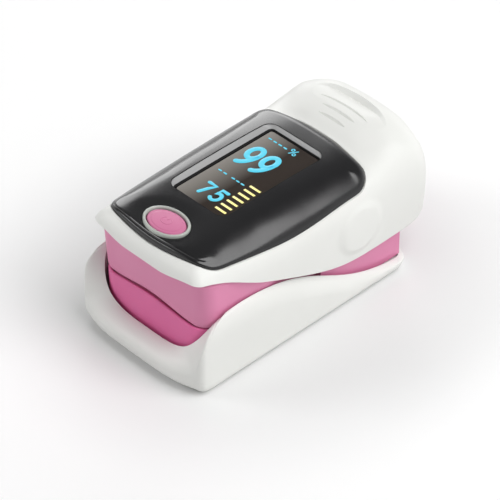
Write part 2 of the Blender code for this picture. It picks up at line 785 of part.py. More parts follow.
def make_upper_pad(mat):
    across = 10
    rows = []
    for y in (-25.2, -20.0, -8.0, 3.0):
        drop = 1.6 if y < -24 else 0.0
        loop = [(PAD_HALF * (i / across * 2 - 1), y) for i in range(across + 1)]
        low = [(x, yy, ARCH_Z - drop - (ARCH_FALL - 0.4 * drop) * (x / PAD_HALF) ** 2) for x, yy in loop]
        rows.append(low + [(x, yy, CEILING_BOTTOM - 0.3) for x, yy in reversed(loop)])
    bm = bmesh.new()
    put_rings(bm, rows)
    obj = add_object("upper_finger_pad", bm, mat)
    cut(obj, box("upper_pad_hole", -3.1, 3.1, SENSOR_Y - 3.8, SENSOR_Y + 3.8, 16.0, 24.0))
    return obj


def least_gap(points, radius, apart):
    """Least clear distance between two places of a wire that lie a number of points apart."""
    gap = min(math.dist(a, b) for i, a in enumerate(points) for b in points[i + apart:])
    return gap - 2 * radius


def wire(name, points, radius, mat):
    """A round wire along a path, as one closed tube."""
    print(f"{name}: least gap between turns {least_gap(points, radius, 7):.2f} mm")
    curve = bpy.data.curves.new(name, 'CURVE')
    curve.dimensions = '3D'
    curve.bevel_depth = radius * MM
    curve.bevel_resolution = 1
    curve.use_fill_caps = True
    spline = curve.splines.new('POLY')
    spline.points.add(len(points) - 1)
    for point, place in zip(spline.points, points):
        point.co = (place[0] * MM, place[1] * MM, place[2] * MM, 1.0)
    curve.materials.append(mat)
    obj = bpy.data.objects.new(name, curve)
    bpy.context.scene.collection.objects.link(obj)
    return obj


def make_torsion_spring(name, side, mat):
    """Coil round the hinge pin; one leg under the ceiling, one leg on the battery deck."""
    turns, radius, pitch, per_turn = 3.5, 2.3, 1.15, 10
    points = [(side * 4.6, 19.0, HINGE_Z - radius - 0.35)]
    total = int(turns * per_turn)
    for i in range(total + 1):
        a = math.radians(270 - 360 * i / per_turn)
        x = side * (4.6 + pitch * i / per_turn)
        points.append((x, HINGE_Y + radius * math.cos(a), HINGE_Z + radius * math.sin(a)))
    points.append((side * (4.6 + pitch * turns), 17.0, HINGE_Z + radius + 1.3))
    return wire(name, points, 0.36, mat)


def make_contact_spring(name, x, start, end, mat):
    """Cone spring between a cell's flat end and the wall of the bay."""
    turns, per_turn = 2.0, 10
    total = int(turns * per_turn)
    points = []
    for i in range(total + 1):
        t = i / total
        a = 2 * math.pi * i / per_turn
        r = 1.3 + 2.7 * t
        points.append((x + r * math.cos(a), start + (end - start) * t, CELL_Z + r * math.sin(a)))
    return wire(name, points, 0.22, mat)


def make_battery(name, x, forward, mat):
    nub = 0.9
    body = CELL_LENGTH - nub
    if forward:
        profile = [(1.9, 0.0), (1.9, nub), (CELL_R - 0.5, nub), (CELL_R, nub + 0.5),
                   (CELL_R, CELL_LENGTH - 0.4), (CELL_R - 0.4, CELL_LENGTH)]
    else:
        profile = [(CELL_R - 0.4, 0.0), (CELL_R, 0.4), (CELL_R, body - 0.5), (CELL_R - 0.5, body),
                   (1.9, body), (1.9, CELL_LENGTH)]
    front = CELL_FRONT if forward else CELL_FRONT + 1.3
    return turned(name, profile, 'Y', (x, front, CELL_Z), 28, mat)


def make_button(mat):
    profile = [(1.3, 25.75), (1.3, FLANGE_Z), (FLANGE_R, FLANGE_Z), (FLANGE_R, FLANGE_Z + 0.26),
               (BUTTON_R, FLANGE_Z + 0.28), (BUTTON_R, BUTTON_TOP - 0.45), (BUTTON_R - 0.25, BUTTON_TOP - 0.2),
               (BUTTON_R - 1.3, BUTTON_TOP - 0.04), (0.6, BUTTON_TOP)]
    bm = bmesh.new()
    put_rings(bm, [oval_ring(r, z) for r, z in profile])
    return add_object("power_button", bm, mat)


def make_ring(mat):
    profile = [(RING_BORE, RING_BOTTOM), (RING_R, RING_BOTTOM), (RING_R, RING_TOP - 0.3),
               (RING_R - 0.2, RING_TOP - 0.05), (RING_R - 0.4, RING_TOP),
               (RING_BORE + 0.15, RING_TOP - 0.1), (RING_BORE, RING_TOP - 0.3)]
    bm = bmesh.new()
    put_rings(bm, [oval_ring(r, z) for r, z in profile], close=True)
    return add_object("button_ring", bm, mat)


def make_screw(name, x, mat):
    profile = [(1.8, 20.0), (1.8, 20.7), (1.6, 20.9), (0.9, 20.9), (0.9, 24.6), (0.3, 25.1)]
    obj = turned(name, profile, 'Z', (x, 19.5, 0), 16, mat)
    slot = bmesh.new()
    put_box(slot, x - 1.1, x + 1.1, 19.25, 19.75, 19.0, 20.4)
    cut(obj, add_object(name + "_slot", slot))
    return obj


def main():
    clear_scene()
    white = material("white_gloss", (0.86, 0.87, 0.84), 0.3)
    black = material("black_gloss", (0.012, 0.012, 0.013), 0.12)
    smoke = material("smoked_lens", (0.02, 0.018, 0.017), 0.08)
    pink = material("pink_plastic", (0.72, 0.2, 0.42), 0.45)
    button_pink = material("pink_button", (0.72, 0.17, 0.36), 0.4)
    soft = material("pink_silicone", (0.55, 0.07, 0.25), 0.6)
    pale = material("pale_ring", (0.62, 0.65, 0.62), 0.25)
    steel = material("steel", (0.6, 0.6, 0.6), 0.3, 1.0)
    board_green = material("board", (0.02, 0.16, 0.08), 0.5)
    dark = material("dark_plastic", (0.03, 0.03, 0.03), 0.5)
    glass = material("clear_window", (0.75, 0.75, 0.75), 0.1, alpha=0.4)
    jacket = material("cell_jacket", (0.05, 0.12, 0.3), 0.35)

    upper = [
        make_upper_shell(white),
        make_display_panel(black),
        plate("display_lens", WINDOW_X - 0.3, WINDOW_FRONT + 0.3, WINDOW_REAR - 0.3, 26.6,
              PANEL_CROWN - WINDOW_DEPTH, 0.5, smoke),
        plate("oled_module", 6.9, -17.0, 10.1, 24.5, 25.4, 0.4, dark),
        plate("oled_holder", 7.4, -17.5, 10.5, 23.85, 24.25, 0.6, white),
        plate("main_board", 9.7, -24.0, 15.5, 22.6, 23.6, 1.5, board_green),
        make_upper_chassis(pink),
        make_upper_pad(soft),
        box("emitter_led", -1.6, 1.6, SENSOR_Y - 2.0, SENSOR_Y + 2.0, 21.2, 22.3, glass),
        plate("emitter_window", 2.8, SENSOR_Y - 3.5, SENSOR_Y + 3.5, 20.1, 20.8, 0.6, glass),
        make_screw("upper_screw_left", -8.2, steel),
        make_screw("upper_screw_right", 8.2, steel),
        make_ring(pale),
    ]
    switch = box("tact_switch", -2.6, 2.6, BUTTON_Y - 1.8, BUTTON_Y + 2.6, 23.9, 25.0, dark)
    join(switch, turned("switch_plunger", [(1.2, 24.5), (1.2, 25.4)], 'Z', (0, BUTTON_Y, 0), 16))
    upper.append(switch)
    button = make_button(button_pink)
    make_lower_shell(white)
    make_lower_chassis(pink)
    make_lower_pad(soft)
    box("detector", -1.6, 1.6, SENSOR_Y - 2.2, SENSOR_Y + 2.2, 12.0, 13.1, dark)
    plate("detector_window", 2.4, SENSOR_Y - 3.4, SENSOR_Y + 3.4, 13.6, 14.1, 0.6, glass)
    door = make_battery_door(white)
    make_battery("battery_left", -CELL_X, True, jacket)
    make_battery("battery_right", CELL_X, False, jacket)
    box("contact_front", -9.4, 9.4, BAY_FRONT + 0.3, BAY_FRONT + 0.6, 3.2, 11.4, steel)
    box("contact_rear", 2.2, 9.0, BAY_REAR - 0.6, BAY_REAR - 0.3, 3.2, 11.4, steel)
    make_contact_spring("spring_rear", -CELL_X, CELL_FRONT + CELL_LENGTH + 0.55, BAY_REAR - 0.5, steel)
    make_contact_spring("spring_front", CELL_X, CELL_FRONT + 0.75, BAY_FRONT + 1.15, steel)
    turned("hinge_pin", [(PIN_R - 0.2, -PIN_HALF), (PIN_R, -PIN_HALF + 0.2), (PIN_R, PIN_HALF - 0.2),
                         (PIN_R - 0.2, PIN_HALF)], 'X', (0, HINGE_Y, HINGE_Z), 20, steel)
    make_torsion_spring("torsion_spring_left", -1, steel)
    make_torsion_spring("torsion_spring_right", 1, steel)

    pivot = bpy.data.objects.new("jaw_pivot", None)
    pivot.location = (0.0, HINGE_Y * MM, HINGE_Z * MM)
    bpy.context.scene.collection.objects.link(pivot)
    slider = bpy.data.objects.new("button_slide", None)
    slider.location = (0.0, BUTTON_Y * MM, BUTTON_TOP * MM)
    bpy.context.scene.collection.objects.link(slider)
    track = bpy.data.objects.new("door_slide", None)
    bpy.context.scene.collection.objects.link(track)
    bpy.context.view_layer.update()
    for obj, parent in [(o, pivot) for o in upper] + [(slider, pivot), (button, slider), (door, track)]:
        place = obj.matrix_world.copy()
        obj.parent = parent
        obj.matrix_parent_inverse = parent.matrix_world.inverted()
        obj.matrix_world = place


main()
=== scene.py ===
import math

import bpy
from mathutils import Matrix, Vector


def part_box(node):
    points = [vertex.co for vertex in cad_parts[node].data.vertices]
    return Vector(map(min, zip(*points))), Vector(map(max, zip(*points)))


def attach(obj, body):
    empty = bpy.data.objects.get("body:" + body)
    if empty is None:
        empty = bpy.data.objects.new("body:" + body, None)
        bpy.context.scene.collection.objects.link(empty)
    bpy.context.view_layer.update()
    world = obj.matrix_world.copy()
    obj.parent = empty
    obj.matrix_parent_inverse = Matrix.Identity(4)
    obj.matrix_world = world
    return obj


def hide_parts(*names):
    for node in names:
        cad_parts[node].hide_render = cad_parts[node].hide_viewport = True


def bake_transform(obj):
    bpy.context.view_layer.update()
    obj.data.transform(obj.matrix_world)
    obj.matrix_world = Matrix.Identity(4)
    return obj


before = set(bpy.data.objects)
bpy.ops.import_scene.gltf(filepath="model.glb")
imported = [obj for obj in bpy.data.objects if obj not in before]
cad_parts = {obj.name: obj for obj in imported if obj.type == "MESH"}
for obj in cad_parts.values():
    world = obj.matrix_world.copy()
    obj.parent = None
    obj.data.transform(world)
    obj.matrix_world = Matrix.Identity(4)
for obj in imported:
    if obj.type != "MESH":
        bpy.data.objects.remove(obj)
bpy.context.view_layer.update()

MM = 0.001

# Sizes are in millimetres: X across the width, the finger goes in at -Y, +Z is up

# Hinge
HINGE_Y = 10.4
HINGE_Z = 16.8

# Upper shell; corners and bows of an outline are given as (front, rear)
UP_FRONT = -29.7
UP_REAR = 31.5
UP_HALF = 15.9
UP_WIDEST = 8.0
UP_FRONT_NARROW = 1.3
UP_FRONT_REACH = 38.0
UP_REAR_NARROW = 0.5
UP_REAR_REACH = 23.3
UP_CORNERS = (2.0, 4.5)
UP_BOWS = (0.5, 1.0)
UP_POINTS = (28, 12, 96, 18, 22)
WAIST_Z = 17.0
SEAT_CROWN = 27.35
CAP_RISE = 4.92
CAP_START = 14.0
CAP_LENGTH = 13.0
REST_FRONT = 20.0
REST_TOP = 33.5
SCOOP_FRONT = 20.5
SCOOP_LENGTH = 5.3
SCOOP_DEPTH = 1.4
SCOOP_HALF = 9.2
CRESCENT_Y = 25.4
CRESCENT_BOW = 0.024
CRESCENT_WALL = 0.75
SKIN_ROWS = 84
SHELL_WALL = 1.3
REST_WALL = 1.5
SEAT_WIDTH = 1.9
SEAT_DROP = 0.4
SPINE_FRONT = -18.0
SPINE_REAR = 2.0
BOSS_R = 5.9
BOSS_PROUD = 0.42
BOSS_EASE = 1.7

# Wavy lower edge of the upper shell: high at the front, low at the rear, lifted again at the tail
EDGE_LOW = 9.4
EDGE_HIGH = 23.0
EDGE_TURN = 6.0
EDGE_SLOPE = 1.29
EDGE_EASE = 3.0
EDGE_BLEND = 0.8
TAIL_START = 23.0
TAIL_LENGTH = 8.7
TAIL_LIFT = 6.0

# Thumb grooves, each as (place, half length, bow, depth)
GROOVES = ((18.6, 3.4, 0.01, 0.5), (20.4, 4.2, 0.012, 0.48), (22.4, 6.1, 0.02, 0.44))
GROOVE_END = 0.26
GROOVE_BROAD = 0.2

# Display plate
PLATE_FRONT = -27.0
PLATE_REAR = 15.4
PLATE_CROWN = 28.55
PLATE_NARROW = 3.1
PLATE_STEP = 0.55
PLATE_STEP_REAR = 0.5
PLATE_SINK = 0.08
PLATE_CORNERS = (4.6, 4.0)
PLATE_BOWS = (0.7, 0.8)
PLATE_POINTS = (24, 14, 64, 18, 22)
WINDOW_X = 6.4
WINDOW_FRONT = -15.2
WINDOW_REAR = 9.5
WINDOW_SLOPE = 1.5
WINDOW_RISE = 1.0
WINDOW_STEEP = 0.3
SCREEN_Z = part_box("display_lens")[1].z / MM
RECESS_FOOT = SCREEN_Z - 0.1

# Picture on the screen; figures stand in a row given as (foot, width, height, pen)
LARGE_ROW = (-1.7, 3.0, 5.75, 1.12)
SMALL_ROW = (-12.55, 2.25, 3.2, 0.78)
READINGS = (("saturation_tens", "9", -4.95, LARGE_ROW), ("saturation_ones", "9", -1.15, LARGE_ROW),
            ("pulse_tens", "7", -3.35, SMALL_ROW), ("pulse_ones", "5", -0.3, SMALL_ROW))
FIGURE_LEAN = 0.12
BAR_COUNT = 7
BAR_FRONT = -13.45
BAR_STEP = 1.42
BAR_LEFT = 2.75
BAR_RIGHT = 5.4
BAR_HALF = 0.24
DASH_ROWS = ((7.3, (-4.6, -3.3, -2.0, -0.7)), (-5.6, (-4.3, -3.0, -0.9, 0.3, 1.5)))
DASH_HALF = 0.27
DASH_PEN = 0.34
PICTURE_LIFT = 0.03

# Button: an oval, longer across the width by OVAL at each end than along the length
BUTTON_Y = -22.7
OVAL = 1.37
RING_R = 3.6
RING_BORE = 3.02
RING_FOOT = 27.4
RING_TOP = 28.12
BUTTON_R = 2.8
BUTTON_TOP = 28.1
STEM_R = 1.3
STEM_FOOT = 25.75
FLANGE_R = 3.2
FLANGE_Z = 26.8
FLANGE_TOP = 27.06

# Lower shell
LOW_FRONT = -31.49
LOW_REAR = 24.6
LOW_HALF = 15.9
FOOT_R = 2.0
FOOT_FRONT = 3.2
LOW_CORNERS = (1.8, 3.2)
LOW_BOWS = (1.6, 0.3)
LIP_FRONT = -27.7
LIP_REAR = 23.5
LIP_HALF = 14.6
LIP_CORNER = 4.8
FLOOR_TOP = 1.85
MOUTH_Z = 5.9
MOUTH_RISE = 9.3
SIDE_LOW = 1.8
SIDE_RISE = 14.8
SIDE_TURN = 2.9
SIDE_EASE = 6.5
DOOR_HALF = 11.3
DOOR_TONGUE = 12.5
DOOR_FRONT = -24.0
DOOR_REAR = 27.0
DOOR_SKIN_TOP = 1.0
DOOR_SLOT_FOOT = 0.65
DOOR_SLOT_TOP = 2.6
DOOR_END_FRONT = 23.3
DOOR_END_TOP = 6.0

# Skirt of the upper half round the finger's mouth
SKIRT_WALL = 1.15
SKIRT_REAR = 4.0
SKIRT_FOOT_FRONT = -26.8
SKIRT_FOOT_HALF = 13.95
SKIRT_FOOT_Z = 12.6
SKIRT_ARCH = 1.2
SKIRT_WAIST_FRONT = -27.6
SKIRT_CREST_FRONT = -25.6
SKIRT_CREST_Z = 23.8

# Finger channel; the cutter of a sensor's hole is given as (half width, half length, foot, top)
TROUGH_Z = 14.15
TROUGH_RISE = 2.1
ARCH_Z = 20.2
ARCH_FALL = 2.3
PAD_HALF = 10.4
SENSOR_Y = -10.0
DETECTOR_HOLE = (2.7, 3.7, 10.0, 20.0)
EMITTER_HOLE = (3.1, 3.8, 16.0, 24.0)
TROUGH_FRONT = -25.1
TROUGH_LENGTH = 27.5
TROUGH_UNDER = 13.55
TROUGH_LIP_REAR = -24.8
TROUGH_LIP_UNDER = 11.6
TROUGH_LIP_FLARE = 1.13
ARCH_FRONT = -25.2
ARCH_LENGTH = 28.2
ARCH_TOP = 20.9
APRON_FRONT = -26.95
APRON_HALF = 13.8
APRON_CORNER = 4.0
APRON_WALL = 0.65
APRON_FOOT = 2.2
APRON_TOP = 12.3

# Springs of the jaw
COIL_TURNS = 3.5
COIL_R = 2.3
COIL_PITCH = 1.15
COIL_STEPS = 32
COIL_START = 4.6
COIL_WIRE = 0.35

# Camera, with the photo's width and the focal length in pixels
CAMERA_AZIMUTH = 45.98
CAMERA_ELEVATION = 39.79
CAMERA_DISTANCE = 543.0
CAMERA_TARGET = (3.55, -5.71, 13.6)
PHOTO_WIDTH_PX = 500
FOCAL_PX = 2990
SENSOR_WIDTH = 36.0


# Materials

NODE_STEP = 220.0


def fill(made, **inputs):
    for name, value in inputs.items():
        made.inputs[name.replace("_", " ")].default_value = value


def node(tree, kind, **inputs):
    """Node with some of its inputs filled in; the nodes of a tree stand in one row."""
    made = tree.nodes.new(f'ShaderNode{kind}')
    made.location = (NODE_STEP * len(tree.nodes), 0.0)
    fill(made, **inputs)
    return made


def group_node(tree, group, **inputs):
    made = node(tree, 'Group')
    made.node_tree = group
    fill(made, **inputs)
    return made


def maths_node(tree, kind, operation):
    made = node(tree, kind)
    made.operation = operation
    return made


def colour_mix(tree, blend='MIX', **inputs):
    made = node(tree, 'Mix')
    made.data_type = 'RGBA'
    made.blend_type = blend
    fill(made, **inputs)
    return made


def join(tree, *links):
    """Links between nodes, each given as (node, output, next node, input)."""
    for start, output, end, socket in links:
        tree.links.new(start.outputs[output], end.inputs[socket])


def new_group(name, inputs, outputs):
    """Empty node group with its sockets, each given as a name and a kind."""
    tree = bpy.data.node_groups.new(name, 'ShaderNodeTree')
    for way, sockets in (('INPUT', inputs), ('OUTPUT', outputs)):
        for socket, kind in sockets.items():
            tree.interface.new_socket(socket, in_out=way, socket_type=f'NodeSocket{kind}')
    return tree, tree.nodes.new('NodeGroupInput'), tree.nodes.new('NodeGroupOutput')


def grain_group():
    """Fine moulded grain: a bump height, and a roughness that wanders a little over the surface."""
    inputs = {"Vector": 'Vector', "Grain": 'Float', "Roughness": 'Float', "Spread": 'Float'}
    tree, given, result = new_group("moulded_grain", inputs, {"Height": 'Float', "Roughness": 'Float'})
    fine = node(tree, 'TexNoise', Detail=3.0, Roughness=0.6)
    broad = node(tree, 'TexNoise', Scale=140.0, Detail=2.0)
    wander = node(tree, 'MapRange', From_Min=0.3, From_Max=0.7, To_Min=-1.0, To_Max=1.0)
    change = maths_node(tree, 'Math', 'MULTIPLY_ADD')
    join(tree, (given, "Vector", fine, "Vector"), (given, "Vector", broad, "Vector"),
         (given, "Grain", fine, "Scale"), (broad, "Fac", wander, "Value"),
         (wander, "Result", change, 0), (given, "Spread", change, 1), (given, "Roughness", change, 2),
         (fine, "Fac", result, "Height"), (change, "Value", result, "Roughness"))
    return tree


def tone_group():
    """Slow change between two close tones, as in a moulded part's flow."""
    inputs = {"Vector": 'Vector', "Light": 'Color', "Deep": 'Color', "Size": 'Float'}
    tree, given, result = new_group("moulded_tone", inputs, {"Color": 'Color'})
    cloud = node(tree, 'TexNoise', Detail=2.0, Roughness=0.5)
    share = node(tree, 'MapRange', From_Min=0.35, From_Max=0.65)
    mix = colour_mix(tree)
    join(tree, (given, "Vector", cloud, "Vector"), (given, "Size", cloud, "Scale"),
         (cloud, "Fac", share, "Value"), (share, "Result", mix, "Factor"), (given, "Light", mix, "A"),
         (given, "Deep", mix, "B"), (mix, "Result", result, "Color"))
    return tree


GRAIN = grain_group()
TONE = tone_group()


def finish_material(name, light, deep, roughness, spread=0.04, grain=900.0, bump=0.15, tone_size=60.0,
                    bump_depth=0.02, **fixed):
    """A moulded or metal finish: two close tones, wandering roughness and a fine grain."""
    made = bpy.data.materials.new(name)
    made.use_nodes = True
    tree = made.node_tree
    shader = tree.nodes["Principled BSDF"]
    fill(shader, **fixed)
    where = node(tree, 'TexCoord')
    tone = group_node(tree, TONE, Light=(*light, 1.0), Deep=(*deep, 1.0), Size=tone_size)
    skin = group_node(tree, GRAIN, Grain=grain, Roughness=roughness, Spread=spread)
    relief = node(tree, 'Bump', Strength=bump, Distance=bump_depth * MM)
    join(tree, (where, "Object", tone, "Vector"), (where, "Object", skin, "Vector"),
         (tone, "Color", shader, "Base Color"), (skin, "Roughness", shader, "Roughness"),
         (skin, "Height", relief, "Height"), (relief, "Normal", shader, "Normal"))
    return made


def nodes_of(made):
    """Node tree of a finish, with its shader and its texture coordinates."""
    tree = made.node_tree
    return tree, tree.nodes["Principled BSDF"], tree.nodes["Texture Coordinate"]


def glow_material(name, colour, strength):
    """Lit picture elements of the display, with a fine dot pitch."""
    made = finish_material(name, colour, tuple(c * 0.9 for c in colour), 0.4, Emission_Strength=strength)
    tree, shader, where = nodes_of(made)
    dots = node(tree, 'TexVoronoi', Scale=6000.0)
    level = node(tree, 'MapRange', From_Max=0.8, To_Min=1.0, To_Max=0.86)
    mix = colour_mix(tree, 'MULTIPLY', Factor=1.0, A=(*colour, 1.0))
    join(tree, (where, "Object", dots, "Vector"), (dots, "Distance", level, "Value"),
         (level, "Result", mix, "B"), (mix, "Result", shader, "Emission Color"))
    return made


def screen_material():
    """Smoked screen: brown-black, with a painted reflection that pales it towards the left side."""
    made = finish_material("smoked_screen", (0.05, 0.04, 0.037), (0.045, 0.035, 0.032), 0.14, 0.02,
                           2500.0, 0.03)
    tree, shader, where = nodes_of(made)
    # Painted reflection: the base colour turns from brown-black to pale grey towards the screen's left side.
    across = maths_node(tree, 'VectorMath', 'DOT_PRODUCT')
    across.inputs[1].default_value = (-1.0, 0.03, 0.0)
    fade = node(tree, 'MapRange', From_Min=-0.001, From_Max=0.008)
    mix = colour_mix(tree, A=(0.03, 0.021, 0.016, 1.0), B=(0.36, 0.34, 0.31, 1.0))
    join(tree, (where, "Object", across, 0), (across, "Value", fade, "Value"),
         (fade, "Result", mix, "Factor"), (mix, "Result", shader, "Base Color"))
    return made


WHITE = finish_material("satin_white", (0.85, 0.855, 0.825), (0.83, 0.835, 0.805), 0.44, 0.03, 1400.0, 0.1)
BLACK = finish_material("gloss_black", (0.012, 0.012, 0.013), (0.009, 0.009, 0.01), 0.2, 0.03, 2500.0, 0.03,
                        Coat_Weight=0.2, Coat_Roughness=0.12)
SCREEN = screen_material()
PINK = finish_material("satin_pink", (0.78, 0.27, 0.455), (0.76, 0.255, 0.44), 0.42, 0.04, 1300.0, 0.12)
SILICONE = finish_material("pink_silicone", (0.83, 0.172, 0.4), (0.8, 0.155, 0.38), 0.55, 0.05, 1100.0, 0.15,
                           Subsurface_Weight=0.15, Subsurface_Radius=(0.002, 0.0008, 0.001),
                           Subsurface_Scale=0.5)
BUTTON_PINK = finish_material("button_pink", (0.63, 0.18, 0.34), (0.61, 0.17, 0.325), 0.48, 0.04, 1500.0, 0.1)
PALE = finish_material("pale_ring", (0.5, 0.53, 0.49), (0.47, 0.5, 0.46), 0.3, 0.04, 1800.0, 0.05)
STEEL = finish_material("bright_steel", (0.62, 0.62, 0.6), (0.55, 0.55, 0.54), 0.3, 0.08, 1600.0, 0.08,
                        Metallic=1.0)
BOARD = finish_material("board_green", (0.03, 0.2, 0.1), (0.015, 0.12, 0.055), 0.45, 0.05, 700.0, 0.15, 400.0)
DARK = finish_material("dark_plastic", (0.035, 0.035, 0.036), (0.025, 0.025, 0.026), 0.5, 0.05, 1200.0, 0.2)
CLEAR = finish_material("clear_window", (0.85, 0.83, 0.83), (0.8, 0.78, 0.78), 0.12, 0.03, 1500.0, 0.03,
                        Transmission_Weight=0.85, IOR=1.46)
# Black finish with almost no reflection, for bands painted as shade and shadow round the screen's recess.
SHADOW_BLACK = finish_material("painted_shadow_black", (0.007, 0.007, 0.007), (0.005, 0.005, 0.005), 0.6, 0.04, 1800.0, 0.05,
                       Specular_IOR_Level=0.15)
GREY = finish_material("recess_grey", (0.38, 0.38, 0.382), (0.36, 0.36, 0.362), 0.34, 0.03, 1800.0, 0.05)
JACKET = finish_material("cell_sleeve", (0.05, 0.13, 0.32), (0.035, 0.1, 0.26), 0.32, 0.05, 900.0, 0.08)
CYAN = glow_material("screen_blue", (0.07, 0.5, 0.66), 0.42)
YELLOW = glow_material("screen_yellow", (0.9, 0.82, 0.3), 0.4)


# Making a piece


def deselect():
    for obj in bpy.context.selected_objects:
        obj.select_set(False)


def select_only(obj):
    deselect()
    obj.select_set(True)
    bpy.context.view_layer.objects.active = obj


def edit(obj, everything=True):
    """Edit mode with the whole mesh selected, or with the faces that are marked."""
    select_only(obj)
    bpy.ops.object.mode_set(mode='EDIT')
    if everything:
        bpy.ops.mesh.select_all(action='SELECT')


def leave():
    bpy.ops.object.mode_set(mode='OBJECT')


def coat(obj, mat, angle):
    """Material, and smooth shading with crisp edges past an angle."""
    obj.data.materials.clear()
    obj.data.materials.append(mat)
    select_only(obj)
    bpy.ops.object.shade_smooth_by_angle(angle=math.radians(angle))


def settle(obj, body, mat, nodes=(), angle=35.0):
    """Finish of a piece, the body that carries it and the solids that it stands in for."""
    coat(obj, mat, angle)
    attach(obj, body)
    if nodes:
        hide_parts(*nodes)


def add_object(name, data):
    obj = bpy.data.objects.new(name, data)
    bpy.context.scene.collection.objects.link(obj)
    return obj


def loft(name, rings, closed=False):
    """Skin over rings of equal length; the last ring joins the first when closed, or both ends get a cap."""
    count = len(rings[0])
    faces = []
    last = len(rings) if closed else len(rings) - 1
    for r in range(last):
        a, b = r * count, (r + 1) % len(rings) * count
        for i in range(count):
            j = (i + 1) % count
            faces.append((a + i, a + j, b + j, b + i))
    if not closed:
        faces.append(tuple(range(count))[::-1])
        faces.append(tuple(range((len(rings) - 1) * count, len(rings) * count)))
    mesh = bpy.data.meshes.new(name)
    mesh.from_pydata([(x * MM, y * MM, z * MM) for ring in rings for x, y, z in ring], (), faces)
    obj = add_object(name, mesh)
    edit(obj)
    bpy.ops.mesh.normals_make_consistent(inside=False)
    leave()
    return obj


def wire(name, path, radius, resolution, shares=None):
    """Round wire along a path, as a mesh; shares can thin it from point to point."""
    curve = bpy.data.curves.new(name, 'CURVE')
    curve.dimensions = '3D'
    curve.bevel_depth = radius * MM
    curve.bevel_resolution = resolution
    curve.use_fill_caps = True
    spline = curve.splines.new('POLY')
    spline.points.add(len(path) - 1)
    for n, point in enumerate(spline.points):
        point.co = (*(Vector(path[n]) * MM), 1.0)
        if shares:
            point.radius = shares[n]
    obj = add_object(name, curve)
    select_only(obj)
    bpy.ops.object.convert(target='MESH')
    return obj


def apply_modifier(obj, kind, **values):
    made = obj.modifiers.new(kind.lower(), kind)
    for name, value in values.items():
        setattr(made, name, value)
    select_only(obj)
    bpy.ops.object.modifier_apply(modifier=made.name)


def carve(obj, *cutters):
    for cutter in cutters:
        apply_modifier(obj, 'BOOLEAN', operation='DIFFERENCE', solver='EXACT', object=cutter)
        bpy.data.objects.remove(cutter)


def block(name, x0, x1, y0, y1, z0, z1):
    deselect()
    bpy.ops.mesh.primitive_cube_add(size=1.0)
    obj = bpy.context.object
    obj.name = name
    for vert in obj.data.vertices:
        share = vert.co + Vector((0.5, 0.5, 0.5))
        place = (x0 + (x1 - x0) * share.x, y0 + (y1 - y0) * share.y, z0 + (z1 - z0) * share.z)
        vert.co = Vector(place) * MM
    return obj


# Forms


def smoothstep(t):
    """Eased share between 0 and 1."""
    t = min(1.0, max(0.0, t))
    return t * t * (3 - 2 * t)


def half_outline(front, rear, side, corner_f, corner_r, bow_f, bow_r, steps, power=2):
    """Right half of a plan outline from the front centre to the rear centre."""
    n_front, n_fc, n_side, n_rc, n_rear = steps
    points = []
    y_f = front + bow_f + corner_f
    x_f = side(y_f)
    for i in range(n_front):
        points.append(((x_f - corner_f) * i / n_front, front + bow_f * (i / n_front) ** power))
    for i in range(n_fc):
        a = 0.5 * math.pi * i / n_fc
        points.append((x_f - corner_f + corner_f * math.sin(a), y_f - corner_f * math.cos(a)))
    y_r = rear - bow_r - corner_r
    for i in range(n_side):
        y = y_f + (y_r - y_f) * i / n_side
        points.append((side(y), y))
    x_r = side(y_r)
    for i in range(n_rc):
        a = 0.5 * math.pi * i / n_rc
        points.append((x_r - corner_r + corner_r * math.cos(a), y_r + corner_r * math.sin(a)))
    for i in range(n_rear + 1):
        k = 1 - i / n_rear
        points.append(((x_r - corner_r) * k, rear - bow_r * k * k))
    return points


def fair(points, rounds):
    """Evens out the joints between the stretches of a half outline."""
    for _ in range(rounds):
        eased = [(0.0, 0.5 * points[0][1] + 0.5 * points[1][1])]
        for a, b, c in zip(points, points[1:], points[2:]):
            eased.append(tuple(0.25 * p + 0.5 * q + 0.25 * r for p, q, r in zip(a, b, c)))
        eased.append((0.0, 0.5 * points[-1][1] + 0.5 * points[-2][1]))
        points = eased
    return points


def whole(half):
    """Closed outline from its right half."""
    return half + [(-x, *rest) for x, *rest in half[-2:0:-1]]


def mirrored(columns):
    return [[(-x, y, z) for x, y, z in column] for column in columns]


def between(a, b, t):
    return tuple(p + (q - p) * t for p, q in zip(a, b))


def neighbours(points, i):
    """Points before and after one point of a half outline, which goes on mirrored past its ends."""
    before = points[i - 1] if i else (-points[1][0], points[1][1])
    after = points[i + 1] if i < len(points) - 1 else (-points[-2][0], points[-2][1])
    return before, after


def inset(points, distance):
    """Half outline moved inwards by one distance, or by a distance for each point."""
    moved = []
    each = distance if isinstance(distance, list) else [distance] * len(points)
    for i, (x, y) in enumerate(points):
        (ax, ay), (bx, by) = neighbours(points, i)
        tx, ty = bx - ax, by - ay
        size = math.hypot(tx, ty)
        moved.append((max(0.0, x - ty / size * each[i]), y + tx / size * each[i]))
    return moved


def upper_side(y):
    """Half width of the upper shell, which narrows to both ends."""
    if y < UP_WIDEST:
        return UP_HALF - UP_FRONT_NARROW * ((y - UP_WIDEST) / UP_FRONT_REACH) ** 2
    return UP_HALF - UP_REAR_NARROW * ((y - UP_WIDEST) / UP_REAR_REACH) ** 2


def plate_side(y):
    """Half width of the display plate, a step inside the shell's."""
    step_in = PLATE_STEP + PLATE_STEP_REAR * smoothstep((y + 10) / 22)
    return UP_HALF - step_in - PLATE_NARROW * (min(0.0, y - 4) / 34) ** 2


